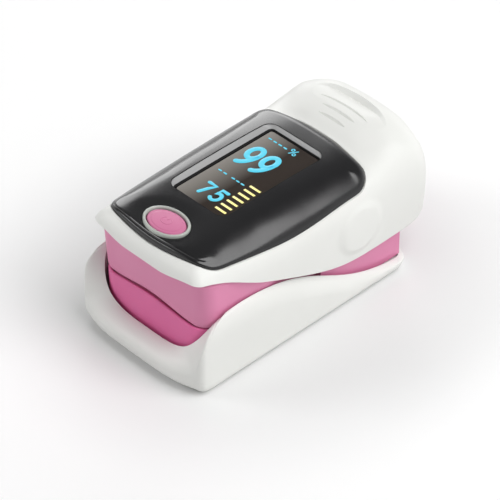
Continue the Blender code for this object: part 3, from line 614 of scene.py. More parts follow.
def upper_edge(x, y):
    """Height of the upper shell's wavy lower edge."""
    wave = EDGE_LOW + EDGE_SLOPE * math.log(1 + math.exp((EDGE_TURN - y) / EDGE_EASE))
    low = EDGE_HIGH - EDGE_BLEND * math.log(1 + math.exp((EDGE_HIGH - wave) / EDGE_BLEND))
    if y > TAIL_START:
        low += TAIL_LIFT * (1 - math.sqrt(max(0.0, 1 - ((y - TAIL_START) / TAIL_LENGTH) ** 2)))
    return low + smoothstep((abs(x) - 4) / 9) * smoothstep((-13 - y) / 10)


def lower_edge(x, y):
    """Height of the lower shell's inner lip: the U of the mouth, then the wave along the side."""
    if y < LIP_FRONT + LIP_CORNER:
        return MOUTH_Z + MOUTH_RISE * (abs(x) / LIP_HALF) ** 4
    wave = SIDE_LOW + SIDE_RISE / (1 + math.exp((y - SIDE_TURN) / SIDE_EASE))
    return wave - 2.4 * math.exp(-(y + 27) / 4)


def cap_crown(y):
    """Crown of the shell's skin, which climbs to the thumb cap."""
    return SEAT_CROWN + CAP_RISE * smoothstep((y - CAP_START) / CAP_LENGTH)


def swell(x, y):
    """Fuller slope of the cap just behind the plate."""
    rise = smoothstep((y - 15.6) / 2.4) * (1 - smoothstep((y - 18.4) / 3.4))
    return 0.25 * rise * (1 - smoothstep((abs(x) - 5) / 6))


def scoop(x, y):
    """Depth of the thumb rest in the cap, in front of its crescent."""
    along = max(0.0, (y - SCOOP_FRONT) / SCOOP_LENGTH) ** 1.3
    return SCOOP_DEPTH * along * max(0.0, 1 - abs(x / SCOOP_HALF) ** 2.2) - 0.04


def crescent(x):
    """Foot of the step at the rear of the thumb rest."""
    return CRESCENT_Y - CRESCENT_BOW * x * x


def spine(y):
    """Place on the middle line that a rib of the shell starts from."""
    return min(max(y, SPINE_FRONT), SPINE_REAR)


def exponents(outer):
    """Fullness of a rib: square at the sides and rear, leaning back at the front."""
    centre = spine(outer[1])
    reach = math.hypot(outer[0], outer[1] - centre)
    ahead = max(0.0, (centre - outer[1]) / reach) ** 2
    soft = 1.1 * smoothstep((outer[1] - 14) / 14) * smoothstep((abs(outer[0]) - 6.5) / 8.5)
    return 4 - 0.5 * ahead - soft, 4 - 1.1 * ahead - soft


def crossing(ray, outline):
    """Share of the ray from the spine to a point at which it crosses a half outline."""
    cy = spine(ray[1])
    dx, dy = ray[0], ray[1] - cy
    for (ax, ay), (bx, by) in zip(outline, outline[1:]):
        ex, ey = bx - ax, by - ay
        det = dx * -ey + dy * ex
        if abs(det) < 1e-12:
            continue
        k = (ax * -ey + (ay - cy) * ex) / det
        along = (dx * (ay - cy) - dy * ax) / det
        if k > 0 and -1e-6 <= along <= 1 + 1e-6:
            return k
    return 0.8


OUTER = fair(half_outline(UP_FRONT, UP_REAR, upper_side, *UP_CORNERS, *UP_BOWS, UP_POINTS), 5)
PLATE = fair(half_outline(PLATE_FRONT, PLATE_REAR, plate_side, *PLATE_CORNERS, *PLATE_BOWS, PLATE_POINTS), 6)


def skin_height(x, y, crown=SEAT_CROWN):
    """Height over a point of the plan of the plate's seat, or of the shell's skin with its own crown."""
    ray = (abs(x), y)
    if abs(x) < 1e-6 and SPINE_FRONT <= y <= SPINE_REAR:
        return crown
    k = 1 / crossing(ray, OUTER)
    centre = spine(y)
    outer = (ray[0] / k, centre + (y - centre) / k)
    p, q = exponents(outer)
    rise = max(0.0, 1 - k ** p) ** (1 / q)
    return WAIST_Z + (crown - WAIST_Z) * rise


def resample(path, rows):
    """Path with an even spacing of its points."""
    lengths = [0.0]
    for a, b in zip(path, path[1:]):
        lengths.append(lengths[-1] + math.dist(a, b))
    result = []
    i = 0
    for r in range(rows):
        want = lengths[-1] * r / (rows - 1)
        while i < len(path) - 2 and lengths[i + 1] < want:
            i += 1
        span = lengths[i + 1] - lengths[i]
        t = (want - lengths[i]) / span if span else 0.0
        result.append(between(path[i], path[i + 1], t))
    return result


# Upper half


def shell_section(outer):
    """One rib of the upper shell as a closed section: seat, cap, side, lower edge and the inner wall."""
    centre = spine(outer[1])
    reach = math.hypot(outer[0], outer[1] - centre)
    ux, uy = outer[0] / reach, (outer[1] - centre) / reach
    p, q = exponents(outer)
    k_plate = crossing(outer, PLATE)

    def place(out, z):
        return ux * out, centre + uy * out, z

    def seat(out, drop):
        rise = max(0.0, 1 - (out / reach) ** p) ** (1 / q)
        return out, WAIST_Z + (SEAT_CROWN - WAIST_Z) * rise - drop

    rim = k_plate * reach
    start = math.acos(min(1.0, ((rim + 0.18) / reach) ** (p / 2)))
    path = []
    for i in range(240):
        a = start * (1 - i / 239)
        out = reach * math.cos(a) ** (2 / p)
        x, y, _ = place(out, 0)
        z = WAIST_Z + (cap_crown(y) - WAIST_Z) * math.sin(a) ** (2 / q) + swell(x, y)
        low = upper_edge(x, y)
        if z < low:
            before_out, before_z = path[-1]
            before_low = upper_edge(*place(before_out, 0)[:2])
            t = (before_z - before_low) / ((before_z - before_low) + (low - z))
            path.append(between(path[-1], (out, z), t))
            break
        path.append((out, z))
    low = upper_edge(*outer)
    if low < WAIST_Z:
        for i in range(1, 31):
            z = WAIST_Z + (low - WAIST_Z) * i / 30
            path.append((reach * (1 - 0.02 * ((WAIST_Z - z) / 8) ** 2), z))
    skin = resample(path, SKIN_ROWS)
    base = [seat(rim - SEAT_WIDTH, 0.0)] + skin
    wall = []
    for i, (out, z) in enumerate(base):
        a, b = base[max(i - 1, 0)], base[min(i + 1, len(base) - 1)]
        to, tz = b[0] - a[0], b[1] - a[1]
        size = math.hypot(to, tz)
        thick = SHELL_WALL * (0.62 + 0.38 * smoothstep((len(base) - 1 - i) / 16))
        x, y, _ = place(out, z)
        under_rest = smoothstep((y - 17) / 3) * (1 - smoothstep((abs(x) - 10) / 3))
        thick += REST_WALL * under_rest * smoothstep((z - 24) / 2)
        wall.append((out + tz / size * thick, z - to / size * thick))
    section = [seat(rim - SEAT_WIDTH, SEAT_DROP), seat(rim - 0.02, SEAT_DROP)]
    section.append((skin[0][0] - 0.06, skin[0][1] - 0.12))
    section += skin[:-1]
    tip, inner_tip = skin[-1], wall[-1]
    section.append((tip[0] + 0.12 * (inner_tip[0] - tip[0]), tip[1] + 0.08))
    section.append((0.65 * tip[0] + 0.35 * inner_tip[0], tip[1]))
    section.append((0.2 * tip[0] + 0.8 * inner_tip[0], 0.3 * tip[1] + 0.7 * inner_tip[1]))
    section += wall[-2:0:-6] + [wall[0]]
    points = []
    for n, (out, z) in enumerate(section):
        x, y, z = place(out, z)
        if 2 < n < SKIN_ROWS + 6 and abs(x) > 12:
            r = math.hypot(y - HINGE_Y, z - HINGE_Z)
            x += math.copysign(BOSS_PROUD * (1 - smoothstep((r - BOSS_R + BOSS_EASE) / BOSS_EASE)), x)
        points.append((x, y, z))
    return points


def cap_height(x, y):
    """Height of the shell's skin over the cap, before the thumb rest is cut."""
    return skin_height(x, y, cap_crown(y)) + swell(x, y)


def thumb_cutter():
    """Cutter for the thumb rest: a hollow floor that ends in a steep crescent wall."""
    rings = []
    for i in range(57):
        x = SCOOP_HALF * 0.999 * (i / 28 - 1)
        foot = crescent(x)
        section = []
        for j in range(21):
            y = REST_FRONT + (foot - REST_FRONT) * j / 20
            section.append((x, y, cap_height(x, y) - scoop(x, y)))
        brink = foot + CRESCENT_WALL
        section.append((x, brink, cap_height(x, brink) + 0.12))
        section += [(x, brink, REST_TOP), (x, REST_FRONT, REST_TOP)]
        rings.append(section)
    return loft("thumb_rest", rings)


def groove_cutter(y, half, bow, depth):
    """Boat-shaped cutter for one thin thumb groove across the cap, bowed like the crescent."""
    rings = []
    for i in range(41):
        x = half * (i / 20 - 1)
        back = y - bow * x * x
        z = cap_height(x, back) - max(0.0, scoop(x, back))
        sink = depth * (1 - (x / half) ** 4) + 0.002
        width = GROOVE_END + GROOVE_BROAD * (1 - (x / half) ** 2)
        rings.append([(x, back, z - sink), (x, back + width, z + 0.35), (x, back - width, z + 0.35)])
    return loft("groove", rings)


def make_upper_shell():
    """White cover with the plate's seat, the thumb rest and its grooves."""
    half = [shell_section(o) for o in OUTER]
    obj = loft("upper_shell_skin", half + mirrored(half[-2:0:-1]), closed=True)
    carve(obj, thumb_cutter(), *(groove_cutter(*groove) for groove in GROOVES))
    settle(obj, "upper_half", WHITE, ["upper_shell"], 38.0)


def plate_top(x, y):
    """Height of the plate's crowned top, with a shallow dish round the button."""
    crown = PLATE_CROWN - ((y + 3) / 24) ** 2
    share = min(1.0, abs(x) / (upper_side(y) + 0.75))
    round_button = math.hypot(x * RING_R / (RING_R + OVAL), y - BUTTON_Y)
    dish = 0.2 * (1 - smoothstep((round_button - 3.2) / 3.0))
    return WAIST_Z + (crown - WAIST_Z) * (1 - share ** 4) ** 0.25 - dish


# Front edge of the plate as (distance in, share of the height): a bead, then a small step
FRONT_STEPS = ((0.0, 0.0), (0.0, 0.2), (0.0, 0.38), (0.02, 0.48), (0.07, 0.57), (0.15, 0.645), (0.25, 0.695),
               (0.36, 0.717), (0.43, 0.725), (0.455, 0.76), (0.47, 0.86), (0.5, 0.94), (0.58, 0.98),
               (0.85, 0.997), (1.3, 1.0), (1.8, 1.0))


def plate_ends():
    """Share of each outline point of the plate in its front, as a number below 0, or its rear, above 0."""
    ends = []
    for i in range(len(PLATE)):
        (ax, ay), (bx, by) = neighbours(PLATE, i)
        facing = (ax - bx) / math.hypot(bx - ax, by - ay)
        ends.append(math.copysign(smoothstep((abs(facing) - 0.2) / 0.6), facing))
    for _ in range(24):
        near = zip(ends[:1] + ends, ends, ends[1:] + ends[-1:])
        ends = [0.25 * a + 0.5 * b + 0.25 * c for a, b, c in near]
    return ends


def plate_edge(n, ends, foot):
    """Ring n of the plate's edge: bead and step at the front, a soft roll at the sides and the rear."""
    t = (n / (len(FRONT_STEPS) - 1)) ** 2.2
    roll = (1 - (1 - t) ** 2.15) ** (1 / 2.15)
    distances, shares = [], []
    for (x, y), facing in zip(PLATE, ends):
        mix = abs(facing)
        end = FRONT_STEPS[n] if facing < 0 else (1.8 * t, roll)
        width = 3.9 + 2.1 * smoothstep((y + 24) / 12) * (1 - smoothstep((y + 2) / 15))
        distances.append(width * t * (1 - mix) + end[0] * mix)
        shares.append(roll * (1 - mix) + end[1] * mix)
    return [(x, y, low + share * (plate_top(x, y) - low))
            for (x, y), low, share in zip(inset(PLATE, distances), foot, shares)]


def window(grow):
    """Loop of the screen's recess: wide slopes at the left and rear, steep ones at the right and front."""
    corner = 0.5 + 1.7 * grow
    half = half_outline(WINDOW_FRONT - WINDOW_STEEP * grow, WINDOW_REAR + WINDOW_RISE * grow,
                        lambda y: WINDOW_X + 0.5 * (WINDOW_SLOPE + WINDOW_STEEP) * grow, corner, corner,
                        0.0, 0.0, PLATE_POINTS)
    shift = 0.5 * (WINDOW_SLOPE - WINDOW_STEEP) * grow
    return [(x - shift, y) for x, y in whole(half)]


def oval(radius, z, steps=96):
    """Loop of the button's oval at one height."""
    turns = [2 * math.pi * i / steps for i in range(steps)]
    across = radius + OVAL * min(1.0, radius)
    return [(across * math.cos(a), BUTTON_Y + radius * math.sin(a), z) for a in turns]


def on_plate(points, drop=0.0):
    """Points of the plan laid on the plate's top, or sunk below it."""
    return [(x, y, plate_top(x, y) - drop) for x, y in points]


def recess_wall(grow, share, lift=0.0):
    """Loop on the recess's walls, at a share of the way from the lip down to the screen."""
    lip = on_plate(window(0.9), 0.1)
    return [(x, y, top + lift + (RECESS_FOOT - top) * share)
            for (x, y), (_, _, top) in zip(window(grow), lip)]


def make_display_plate():
    """Crowned plate with a beaded front edge, a sloped screen recess and the button's hole."""
    ends = plate_ends()
    foot = [skin_height(x, y) - PLATE_SINK for x, y in PLATE]
    rings = [whole(plate_edge(n, ends, foot)) for n in range(len(FRONT_STEPS))]
    rim = rings[-1]
    brow = window(1.0)
    for i in range(1, 21):
        rings.append(on_plate([between(a, b, i / 20) for a, b in zip(rim, brow)]))
    rings += [on_plate(window(0.95), 0.03), on_plate(window(0.9), 0.1)]
    rings += [recess_wall(*place) for place in ((0.6, 0.34), (0.3, 0.67), (0.04, 0.97), (0.0, 1.0))]
    rings.append([(x, y, SCREEN_Z - 0.7) for x, y in window(0.0)])
    rings.append(on_plate(window(1.0), 2.0))
    rings.append(on_plate(whole(inset(PLATE, 2.9)), 2.2))
    rings.append(whole([(x, y, skin_height(x, y) - PLATE_SINK) for x, y in inset(PLATE, 2.7)]))
    obj = loft("display_plate", rings, closed=True)
    hole = [oval(RING_R + 0.1, 20.0), oval(RING_R + 0.1, 27.7), oval(RING_R + 0.3, 28.7)]
    carve(obj, loft("button_hole", hole))
    settle(obj, "upper_half", BLACK, ["display_panel"], 32.0)


def band(name, rings, thick, mat):
    """Thin band of the recess: rings of its face, and the same rings again further down."""
    under = [[(x, y, z - thick) for x, y, z in ring] for ring in rings[::-1]]
    settle(loft(name, rings + under, closed=True), "upper_half", mat)


def make_recess():
    """Painted shade line round the recess, its grey walls and a painted shadow band round the screen."""
    # Painted shade: a matte black line along the recess's outer lip stands for the shade of a groove.
    seal = [on_plate(window(1.1), 0.05), on_plate(window(1.1), -0.012), on_plate(window(0.92), -0.012),
            on_plate(window(0.92), 0.08)]
    settle(loft("recess_shade_line", seal, closed=True), "upper_half", SHADOW_BLACK)
    band("recess_walls", [on_plate(window(0.91), 0.0), on_plate(window(0.88), 0.06),
                          recess_wall(0.6, 0.34, 0.05), recess_wall(0.22, 0.76, 0.05)], 0.12, GREY)
    # Painted shadow: a matte black band at the foot of the walls stands for the shadow between the screen and
    # the walls.
    band("screen_shadow_band", [recess_wall(0.25, 0.73, 0.06), recess_wall(0.22, 0.76, 0.075),
                         recess_wall(0.12, 0.87, 0.06), recess_wall(0.02, 1.0, 0.03)], 0.14, SHADOW_BLACK)


def button_height(x, y):
    """Height of the button's slightly domed top."""
    r = math.hypot(x / (BUTTON_R + OVAL), y / BUTTON_R)
    return BUTTON_TOP - 0.2 * min(1.0, r) ** 2 - 0.05 * smoothstep((r - 0.76) / 0.06)


def make_button():
    """Pale oval ring, and the button in it with its raised mark."""
    profile = [(RING_BORE, RING_FOOT), (RING_R, RING_FOOT), (RING_R, RING_TOP - 0.3),
               (RING_R - 0.05, RING_TOP - 0.14), (RING_R - 0.16, RING_TOP - 0.03), (RING_R - 0.3, RING_TOP),
               (RING_BORE + 0.2, RING_TOP - 0.04), (RING_BORE + 0.06, RING_TOP - 0.13),
               (RING_BORE, RING_TOP - 0.3)]
    ring = loft("button_bezel", [oval(r, z) for r, z in profile], closed=True)
    settle(ring, "upper_half", PALE, ["button_ring"])
    side = [(STEM_R, STEM_FOOT), (STEM_R, FLANGE_Z), (FLANGE_R, FLANGE_Z), (FLANGE_R, FLANGE_TOP),
            (BUTTON_R, FLANGE_TOP + 0.02), (BUTTON_R, BUTTON_TOP - 0.5),
            (BUTTON_R - 0.03, BUTTON_TOP - 0.36), (BUTTON_R - 0.12, BUTTON_TOP - 0.28)]
    rings = [oval(r, z) for r, z in side]
    for i in range(1, 32):
        share = (1 - i / 32) * (BUTTON_R - 0.12) / BUTTON_R
        loop = [(x * share, (y - BUTTON_Y) * share) for x, y, _ in oval(BUTTON_R, 0.0)]
        rings.append([(x, y + BUTTON_Y, button_height(x, y)) for x, y in loop])
    settle(loft("button_cap", rings), "button", BUTTON_PINK, ["power_button"])
    mark = stroke("button_mark", [(1.1 * math.sin(math.radians(a)), 0.85 * math.cos(math.radians(a)))
                                  for a in range(40, 321, 10)], 0.2)
    stem = stroke("button_mark_stem", [(0.0, 0.3), (0.0, 1.0)], 0.2)
    for piece in (mark, stem):
        for vert in piece.data.vertices:
            lift = button_height(vert.co.x / MM, vert.co.y / MM) * MM
            vert.co = Vector((vert.co.x, vert.co.y + BUTTON_Y * MM, vert.co.z * 4.0 + lift))
        settle(piece, "button", BUTTON_PINK)


# Screen


def stroke(name, points, width):
    """A flat pen stroke with round ends, lying on z = 0."""
    path = [Vector((x, y, 0.0)) for x, y in points]
    half = width / 2
    start = path[0] - (path[1] - path[0]).normalized() * half
    end = path[-1] + (path[-1] - path[-2]).normalized() * half
    path = [start] + path + [end]
    lengths = [0.0]
    for a, b in zip(path, path[1:]):
        lengths.append(lengths[-1] + (b - a).length)
    total = lengths[-1]
    ends = [half * (1 - math.cos(math.radians(a))) for a in (6, 25, 45, 65, 90)]
    marks = sorted({*(round(s, 5) for s in lengths[1:-1]), *(round(s, 5) for s in ends),
                    *(round(total - s, 5) for s in ends)})
    places, shares = [], []
    for s in marks:
        i = 0
        while i < len(lengths) - 2 and lengths[i + 1] < s:
            i += 1
        t = (s - lengths[i]) / max(1e-9, lengths[i + 1] - lengths[i])
        places.append(path[i].lerp(path[i + 1], t))
        near = min(s, total - s, half)
        shares.append(math.sqrt(max(0.0, 1 - ((half - near) / half) ** 2)))
    obj = wire(name, places, half, 3, shares)
    for vert in obj.data.vertices:
        vert.co.z *= 0.12
    return obj


def arc(cx, cy, rx, ry, start, end, steps):
    """Points of an oval arc between two angles in degrees."""
    turns = [math.radians(start + (end - start) * i / steps) for i in range(steps + 1)]
    return [(cx + rx * math.cos(a), cy + ry * math.sin(a)) for a in turns]


# Strokes of the figures in a box of width 1 and height 1
DIGITS = {
    "9": [arc(0.5, 0.7, 0.4, 0.3, 0, 360, 28) + arc(0.1, 0.7, 0.8, 0.7, 0, -78, 14)],
    "7": [[(0.08, 1.0), (0.9, 1.0), (0.62, 0.55), (0.4, 0.0)]],
    "5": [[(0.85, 1.0), (0.25, 1.0), (0.17, 0.56)] + arc(0.47, 0.34, 0.42, 0.34, 130, -140, 18)],
}


def light_up(piece):
    """Lays a stroke on the screen as lit picture elements."""
    for vert in piece.data.vertices:
        vert.co.z += (SCREEN_Z + PICTURE_LIFT) * MM
    settle(piece, "upper_half", CYAN, (), 60.0)


def put_digit(name, figure, x, y, width, height, pen):
    for n, points in enumerate(DIGITS[figure]):
        placed = [(x + (u + FIGURE_LEAN * (v - 0.5)) * width, y + v * height) for u, v in points]
        light_up(stroke(f"{name}_{n}", placed, pen))


def make_screen():
    """Two readings, a column of level bars, a percent sign and plain dashes."""
    for name, figure, left, row in READINGS:
        put_digit(name, figure, left, *row)
    for i in range(BAR_COUNT):
        y = BAR_FRONT + BAR_STEP * i
        bar = block(f"level_bar_{i}", BAR_LEFT, BAR_RIGHT, y - BAR_HALF, y + BAR_HALF,
                    SCREEN_Z, SCREEN_Z + 2 * PICTURE_LIFT)
        apply_modifier(bar, 'BEVEL', width=0.04 * MM, segments=2, limit_method='NONE')
        settle(bar, "upper_half", YELLOW, (), 60.0)
    light_up(stroke("share_slash", [(0.75, 6.75), (1.75, 8.25)], 0.24))
    for n, (x, y) in enumerate(((0.75, 7.95), (1.75, 7.05))):
        light_up(stroke(f"share_dot_{n}", arc(x, y, 0.3, 0.3, 0, 340, 14), 0.22))
    dashes = [(x, y) for y, row in DASH_ROWS for x in row]
    for n, (x, y) in enumerate(dashes):
        light_up(stroke(f"plain_dash_{n}", [(x - DASH_HALF, y), (x + DASH_HALF, y)], DASH_PEN))


# Skirt round the finger's mouth


def walled_in(point, centre):
    """Point of the skirt's inner side, one wall further in than a point of its outer side."""
    out = Vector((point.x - centre.x, point.y - centre.y, 0.0)).normalized()
    return point - out * SKIRT_WALL


def skirt_section(low, mid, top):
    """Closed section of the skirt: rounded foot, waist under the shell's rim, crest inside the shell."""
    mid = (mid[0], min(mid[1], 0.0))
    edge = max(upper_edge(*mid) - 0.45 - 0.45 * smoothstep((-19 - mid[1]) / 4), 14.2)
    arch = SKIRT_ARCH * (1 - smoothstep(abs(low[0]) / 11.5)) if low[1] < -24 else 0.0
    foot = Vector((*low, SKIRT_FOOT_Z + arch))
    waist = Vector((*mid, edge))
    crest = Vector((*top, max(edge + 0.2, min(SKIRT_CREST_Z, skin_height(*top) - 1.7))))
    centre = Vector((0.0, min(max(mid[1], -22.0), 0.0), 0.0))
    inward = walled_in(foot, centre) - foot
    section = [foot + inward * 0.3, foot + inward * 0.12 + Vector((0, 0, 0.06)),
               foot + (waist - foot).normalized() * 0.25]
    section += [foot.lerp(waist, i / 8) for i in range(1, 8)] + [waist]
    section += [waist.lerp(crest, i / 4) for i in range(1, 5)]
    section += [walled_in(p, centre) for p in (crest, waist, foot.lerp(waist, 0.5), foot)]
    return [tuple(p) for p in section]


def make_skirt():
    """Pink skirt round the front and the sides of the mouth."""
    steps = (20, 12, 48, 2, 2)
    keep = sum(steps[:3])
    low = half_outline(SKIRT_FOOT_FRONT, SKIRT_REAR, lambda y: SKIRT_FOOT_HALF, 3.4, 1.0, 0.3, 0.0, steps)
    mid = half_outline(SKIRT_WAIST_FRONT, SKIRT_REAR,
                       lambda y: upper_side(y) - 0.85 - 0.9 * smoothstep((y + 13) / 6),
                       3.4, 1.0, 0.5, 0.0, steps)
    top = half_outline(SKIRT_CREST_FRONT, SKIRT_REAR, lambda y: upper_side(y) - 3.1,
                       3.8, 1.0, 0.5, 0.0, steps)
    half = [skirt_section(*points) for points in zip(low[:keep], mid, top)]
    obj = loft("mouth_skirt", mirrored(half[:0:-1]) + half)
    settle(obj, "upper_half", PINK, ["upper_chassis"], 38.0)


def make_chassis_deck():
    """Copy of the chassis solid without the outer walls that the skirt stands in for."""
    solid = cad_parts["upper_chassis"]
    deck = solid.copy()
    deck.data = solid.data.copy()
    deck.name = "chassis_deck"
    deck.hide_render = False
    deck.hide_viewport = False
    bpy.context.scene.collection.objects.link(deck)
    edit(deck)
    bpy.ops.mesh.remove_doubles(threshold=1e-6)
    bpy.ops.mesh.select_all(action='DESELECT')
    leave()
    for face in deck.data.polygons:
        x, y, _ = (c / MM for c in face.center)
        face.select = y < 4.2 and (abs(x) > 11.95 or y < -25.05)
    edit(deck, everything=False)
    bpy.ops.mesh.delete(type='FACE')
    leave()
    settle(deck, "upper_half", PINK)


# Lower half


def make_lower_shell():
    """White tub with a rounded foot, a broad rolled lip and the openings of the battery door."""
    steps = (40, 12, 72, 8, 12)
    outer = half_outline(LOW_FRONT, LOW_REAR, lambda y: LOW_HALF, *LOW_CORNERS, *LOW_BOWS, steps, 4)
    inner = half_outline(LIP_FRONT, LIP_REAR, lambda y: LIP_HALF, LIP_CORNER, 2.2, 0.0, 0.0, steps)
    outer, inner = fair(outer, 3), fair(inner, 4)
    lip = [lower_edge(*p) for p in inner]
    foot = [FOOT_R + (FOOT_FRONT - FOOT_R) * smoothstep((-26.5 - y) / 4) for x, y in outer]
    rings = []
    for i in range(9):
        a = math.radians(90 * i / 8)
        points = inset(outer, [r * (1 - math.sin(a)) for r in foot])
        rings.append(whole([(x, y, r * (1 - math.cos(a))) for (x, y), r in zip(points, foot)]))
    for i in range(19):
        a = math.radians(90 * i / 18)
        across, up = math.cos(a) ** 1.1, math.sin(a) ** 1.1
        ring = []
        for outside, inside, z, r in zip(outer, inner, lip, foot):
            start = max(r + 0.2, 0.9 * z - 2.0)
            ring.append((*between(inside, outside, across), start + (z - start) * up))
        rings.append(whole(ring))
    rings.append(whole([(x, y, z - 0.5) for (x, y), z in zip(inner, lip)]))
    rings.append(whole([(x, y, FLOOR_TOP) for x, y in inner]))
    obj = loft("lower_shell_tub", rings)
    carve(obj, block("door_opening", -DOOR_HALF, DOOR_HALF, DOOR_FRONT, DOOR_REAR, -1.0, DOOR_SKIN_TOP),
          block("door_slot", -DOOR_TONGUE, DOOR_TONGUE, DOOR_FRONT - 0.3, DOOR_REAR,
                DOOR_SLOT_FOOT, DOOR_SLOT_TOP),
          block("door_end", -DOOR_HALF, DOOR_HALF, DOOR_END_FRONT, DOOR_REAR, -1.0, DOOR_END_TOP))
    settle(obj, "lower_half", WHITE, ["lower_shell"], 40.0)


PAD_ACROSS = [PAD_HALF * (i / 20 - 1) for i in range(41)]


def sensor_cutter(across, along, foot, top):
    """Cutter through a pad, for a sensor's window."""
    return block("sensor_hole", -across, across, SENSOR_Y - along, SENSOR_Y + along, foot, top)


def make_finger_trough():
    """Soft trough under the finger, with a lip that reaches down behind the apron."""
    rows = []
    lengthwise = [TROUGH_FRONT + TROUGH_LENGTH * i / 40 for i in range(1, 41)]
    for y in [TROUGH_FRONT, TROUGH_LIP_REAR, TROUGH_LIP_REAR + 0.05] + lengthwise:
        rise = TROUGH_RISE * smoothstep((y + 26.0) / 5)
        on_lip = y <= TROUGH_LIP_REAR
        under, flare = (TROUGH_LIP_UNDER, TROUGH_LIP_FLARE) if on_lip else (TROUGH_UNDER, 1.0)
        shares = [(x, x / PAD_HALF) for x in PAD_ACROSS]
        top = [(x, y, TROUGH_Z + rise * share ** 2 - 0.25 * share ** 24) for x, share in shares]
        rows.append(top + [(x * flare, y, under) for x in reversed(PAD_ACROSS)])
    obj = loft("finger_trough", rows)
    carve(obj, sensor_cutter(*DETECTOR_HOLE))
    apply_modifier(obj, 'BEVEL', width=0.22 * MM, segments=3, limit_method='ANGLE',
                   angle_limit=math.radians(50))
    settle(obj, "lower_half", SILICONE, ["lower_finger_pad"], 38.0)


def make_apron():
    """Soft apron in the U of the mouth, with a rounded top edge."""
    steps = (24, 14, 6, 1, 1)
    keep = sum(steps[:2])
    face = half_outline(APRON_FRONT, 0.0, lambda y: APRON_HALF, APRON_CORNER, 1.0, 0.0, 0.0, steps)
    back = half_outline(APRON_FRONT + APRON_WALL, 0.0, lambda y: APRON_HALF - APRON_WALL,
                        APRON_CORNER - APRON_WALL, 1.0, 0.0, 0.0, steps)
    half = []
    for a, b in zip(face[:keep], back):
        top = APRON_TOP + 0.7 * (1 - smoothstep(abs(a[0]) / 11.0))
        rounding = ((0.12, 0.1), (0.35, 0.0), (0.65, 0.0), (0.88, 0.1))
        half.append([(*a, APRON_FOOT), (*a, 0.5 * top), (*a, top - 0.3)]
                    + [(*between(a, b, t), top - drop) for t, drop in rounding]
                    + [(*b, top - 0.3), (*b, APRON_FOOT)])
    obj = loft("mouth_apron", mirrored(half[:0:-1]) + half)
    settle(obj, "lower_half", SILICONE, (), 40.0)


def make_upper_pad():
    """Soft arch over the finger, with a lower brow at the mouth."""
    rows = []
    for i in range(41):
        y = ARCH_FRONT + ARCH_LENGTH * i / 40
        drop = 1.6 * (1 - smoothstep((y - ARCH_FRONT) / 4.5))
        fall = ARCH_FALL - 0.4 * drop
        low = [(x, y, ARCH_Z - drop - fall * (x / PAD_HALF) ** 2) for x in PAD_ACROSS]
        rows.append(low + [(x, y, ARCH_TOP) for x in reversed(PAD_ACROSS)])
    obj = loft("finger_arch", rows)
    carve(obj, sensor_cutter(*EMITTER_HOLE))
    settle(obj, "upper_half", SILICONE, ["upper_finger_pad"], 38.0)


# Springs of the jaw


def make_torsion_spring(name, side, nodes):
    """Coil round the hinge pin, with a leg in each half."""
    path = [(side * COIL_START, 19.0, HINGE_Z - COIL_R - 0.35)]
    for i in range(int(COIL_TURNS * COIL_STEPS) + 1):
        a = math.radians(270 - 360 * i / COIL_STEPS)
        path.append((side * (COIL_START + COIL_PITCH * i / COIL_STEPS), HINGE_Y + COIL_R * math.cos(a),
                     HINGE_Z + COIL_R * math.sin(a)))
    finish = COIL_START + COIL_PITCH * COIL_TURNS
    path.append((side * finish, 17.0, HINGE_Z + COIL_R + 1.3))
    obj = wire(name, path, COIL_WIRE, 4)
    coat(obj, STEEL, 50)
    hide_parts(*nodes)
    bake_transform(obj)


# Carried-over solids


def dress_nodes():
    """Finishes of the solids that stay in view as they are."""
    finishes = {
        "display_lens": SCREEN, "oled_module": DARK, "oled_holder": WHITE, "main_board": BOARD,
        "emitter_led": CLEAR, "emitter_window": CLEAR, "upper_screw_left": STEEL, "upper_screw_right": STEEL,
        "tact_switch": DARK, "lower_chassis": PINK, "detector": DARK, "detector_window": CLEAR,
        "battery_door": WHITE, "battery_left": JACKET, "battery_right": JACKET, "contact_front": STEEL,
        "contact_rear": STEEL, "spring_rear": STEEL, "spring_front": STEEL, "hinge_pin": STEEL,
    }
    for name, mat in finishes.items():
        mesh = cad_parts[name]
        for slot in mesh.material_slots:
            slot.material = mat


# Stage


def make_floor():
    """Pale floor: white to the camera, with a painted shadow that greys it near the object; it bounces less
    light than that.
    """
    deselect()
    bpy.ops.mesh.primitive_plane_add(size=6.0, location=(0, 0, -0.0001))
    floor = bpy.context.object
    floor.name = "floor"
    mat = bpy.data.materials.new("pale_floor")
    mat.use_nodes = True
    tree = mat.node_tree
    shader = tree.nodes["Principled BSDF"]
    fill(shader, Roughness=0.5, Specular_IOR_Level=0.2)
    where = node(tree, 'TexCoord')
    away = maths_node(tree, 'VectorMath', 'LENGTH')
    # Painted shadow: the floor's colour greys towards the object, to 0.84 within 28 mm of its centre.
    tone = node(tree, 'MapRange', From_Min=0.028, From_Max=0.058, To_Min=0.84, To_Max=1.0)
    tone.interpolation_type = 'SMOOTHSTEP'
    path = node(tree, 'LightPath')
    mix = colour_mix(tree, A=(0.72, 0.72, 0.72, 1.0))
    join(tree, (where, "Object", away, 0), (away, "Value", tone, "Value"), (tone, "Result", mix, "B"),
         (path, "Is Camera Ray", mix, "Factor"), (mix, "Result", shader, "Base Color"))
    floor.data.materials.append(mat)


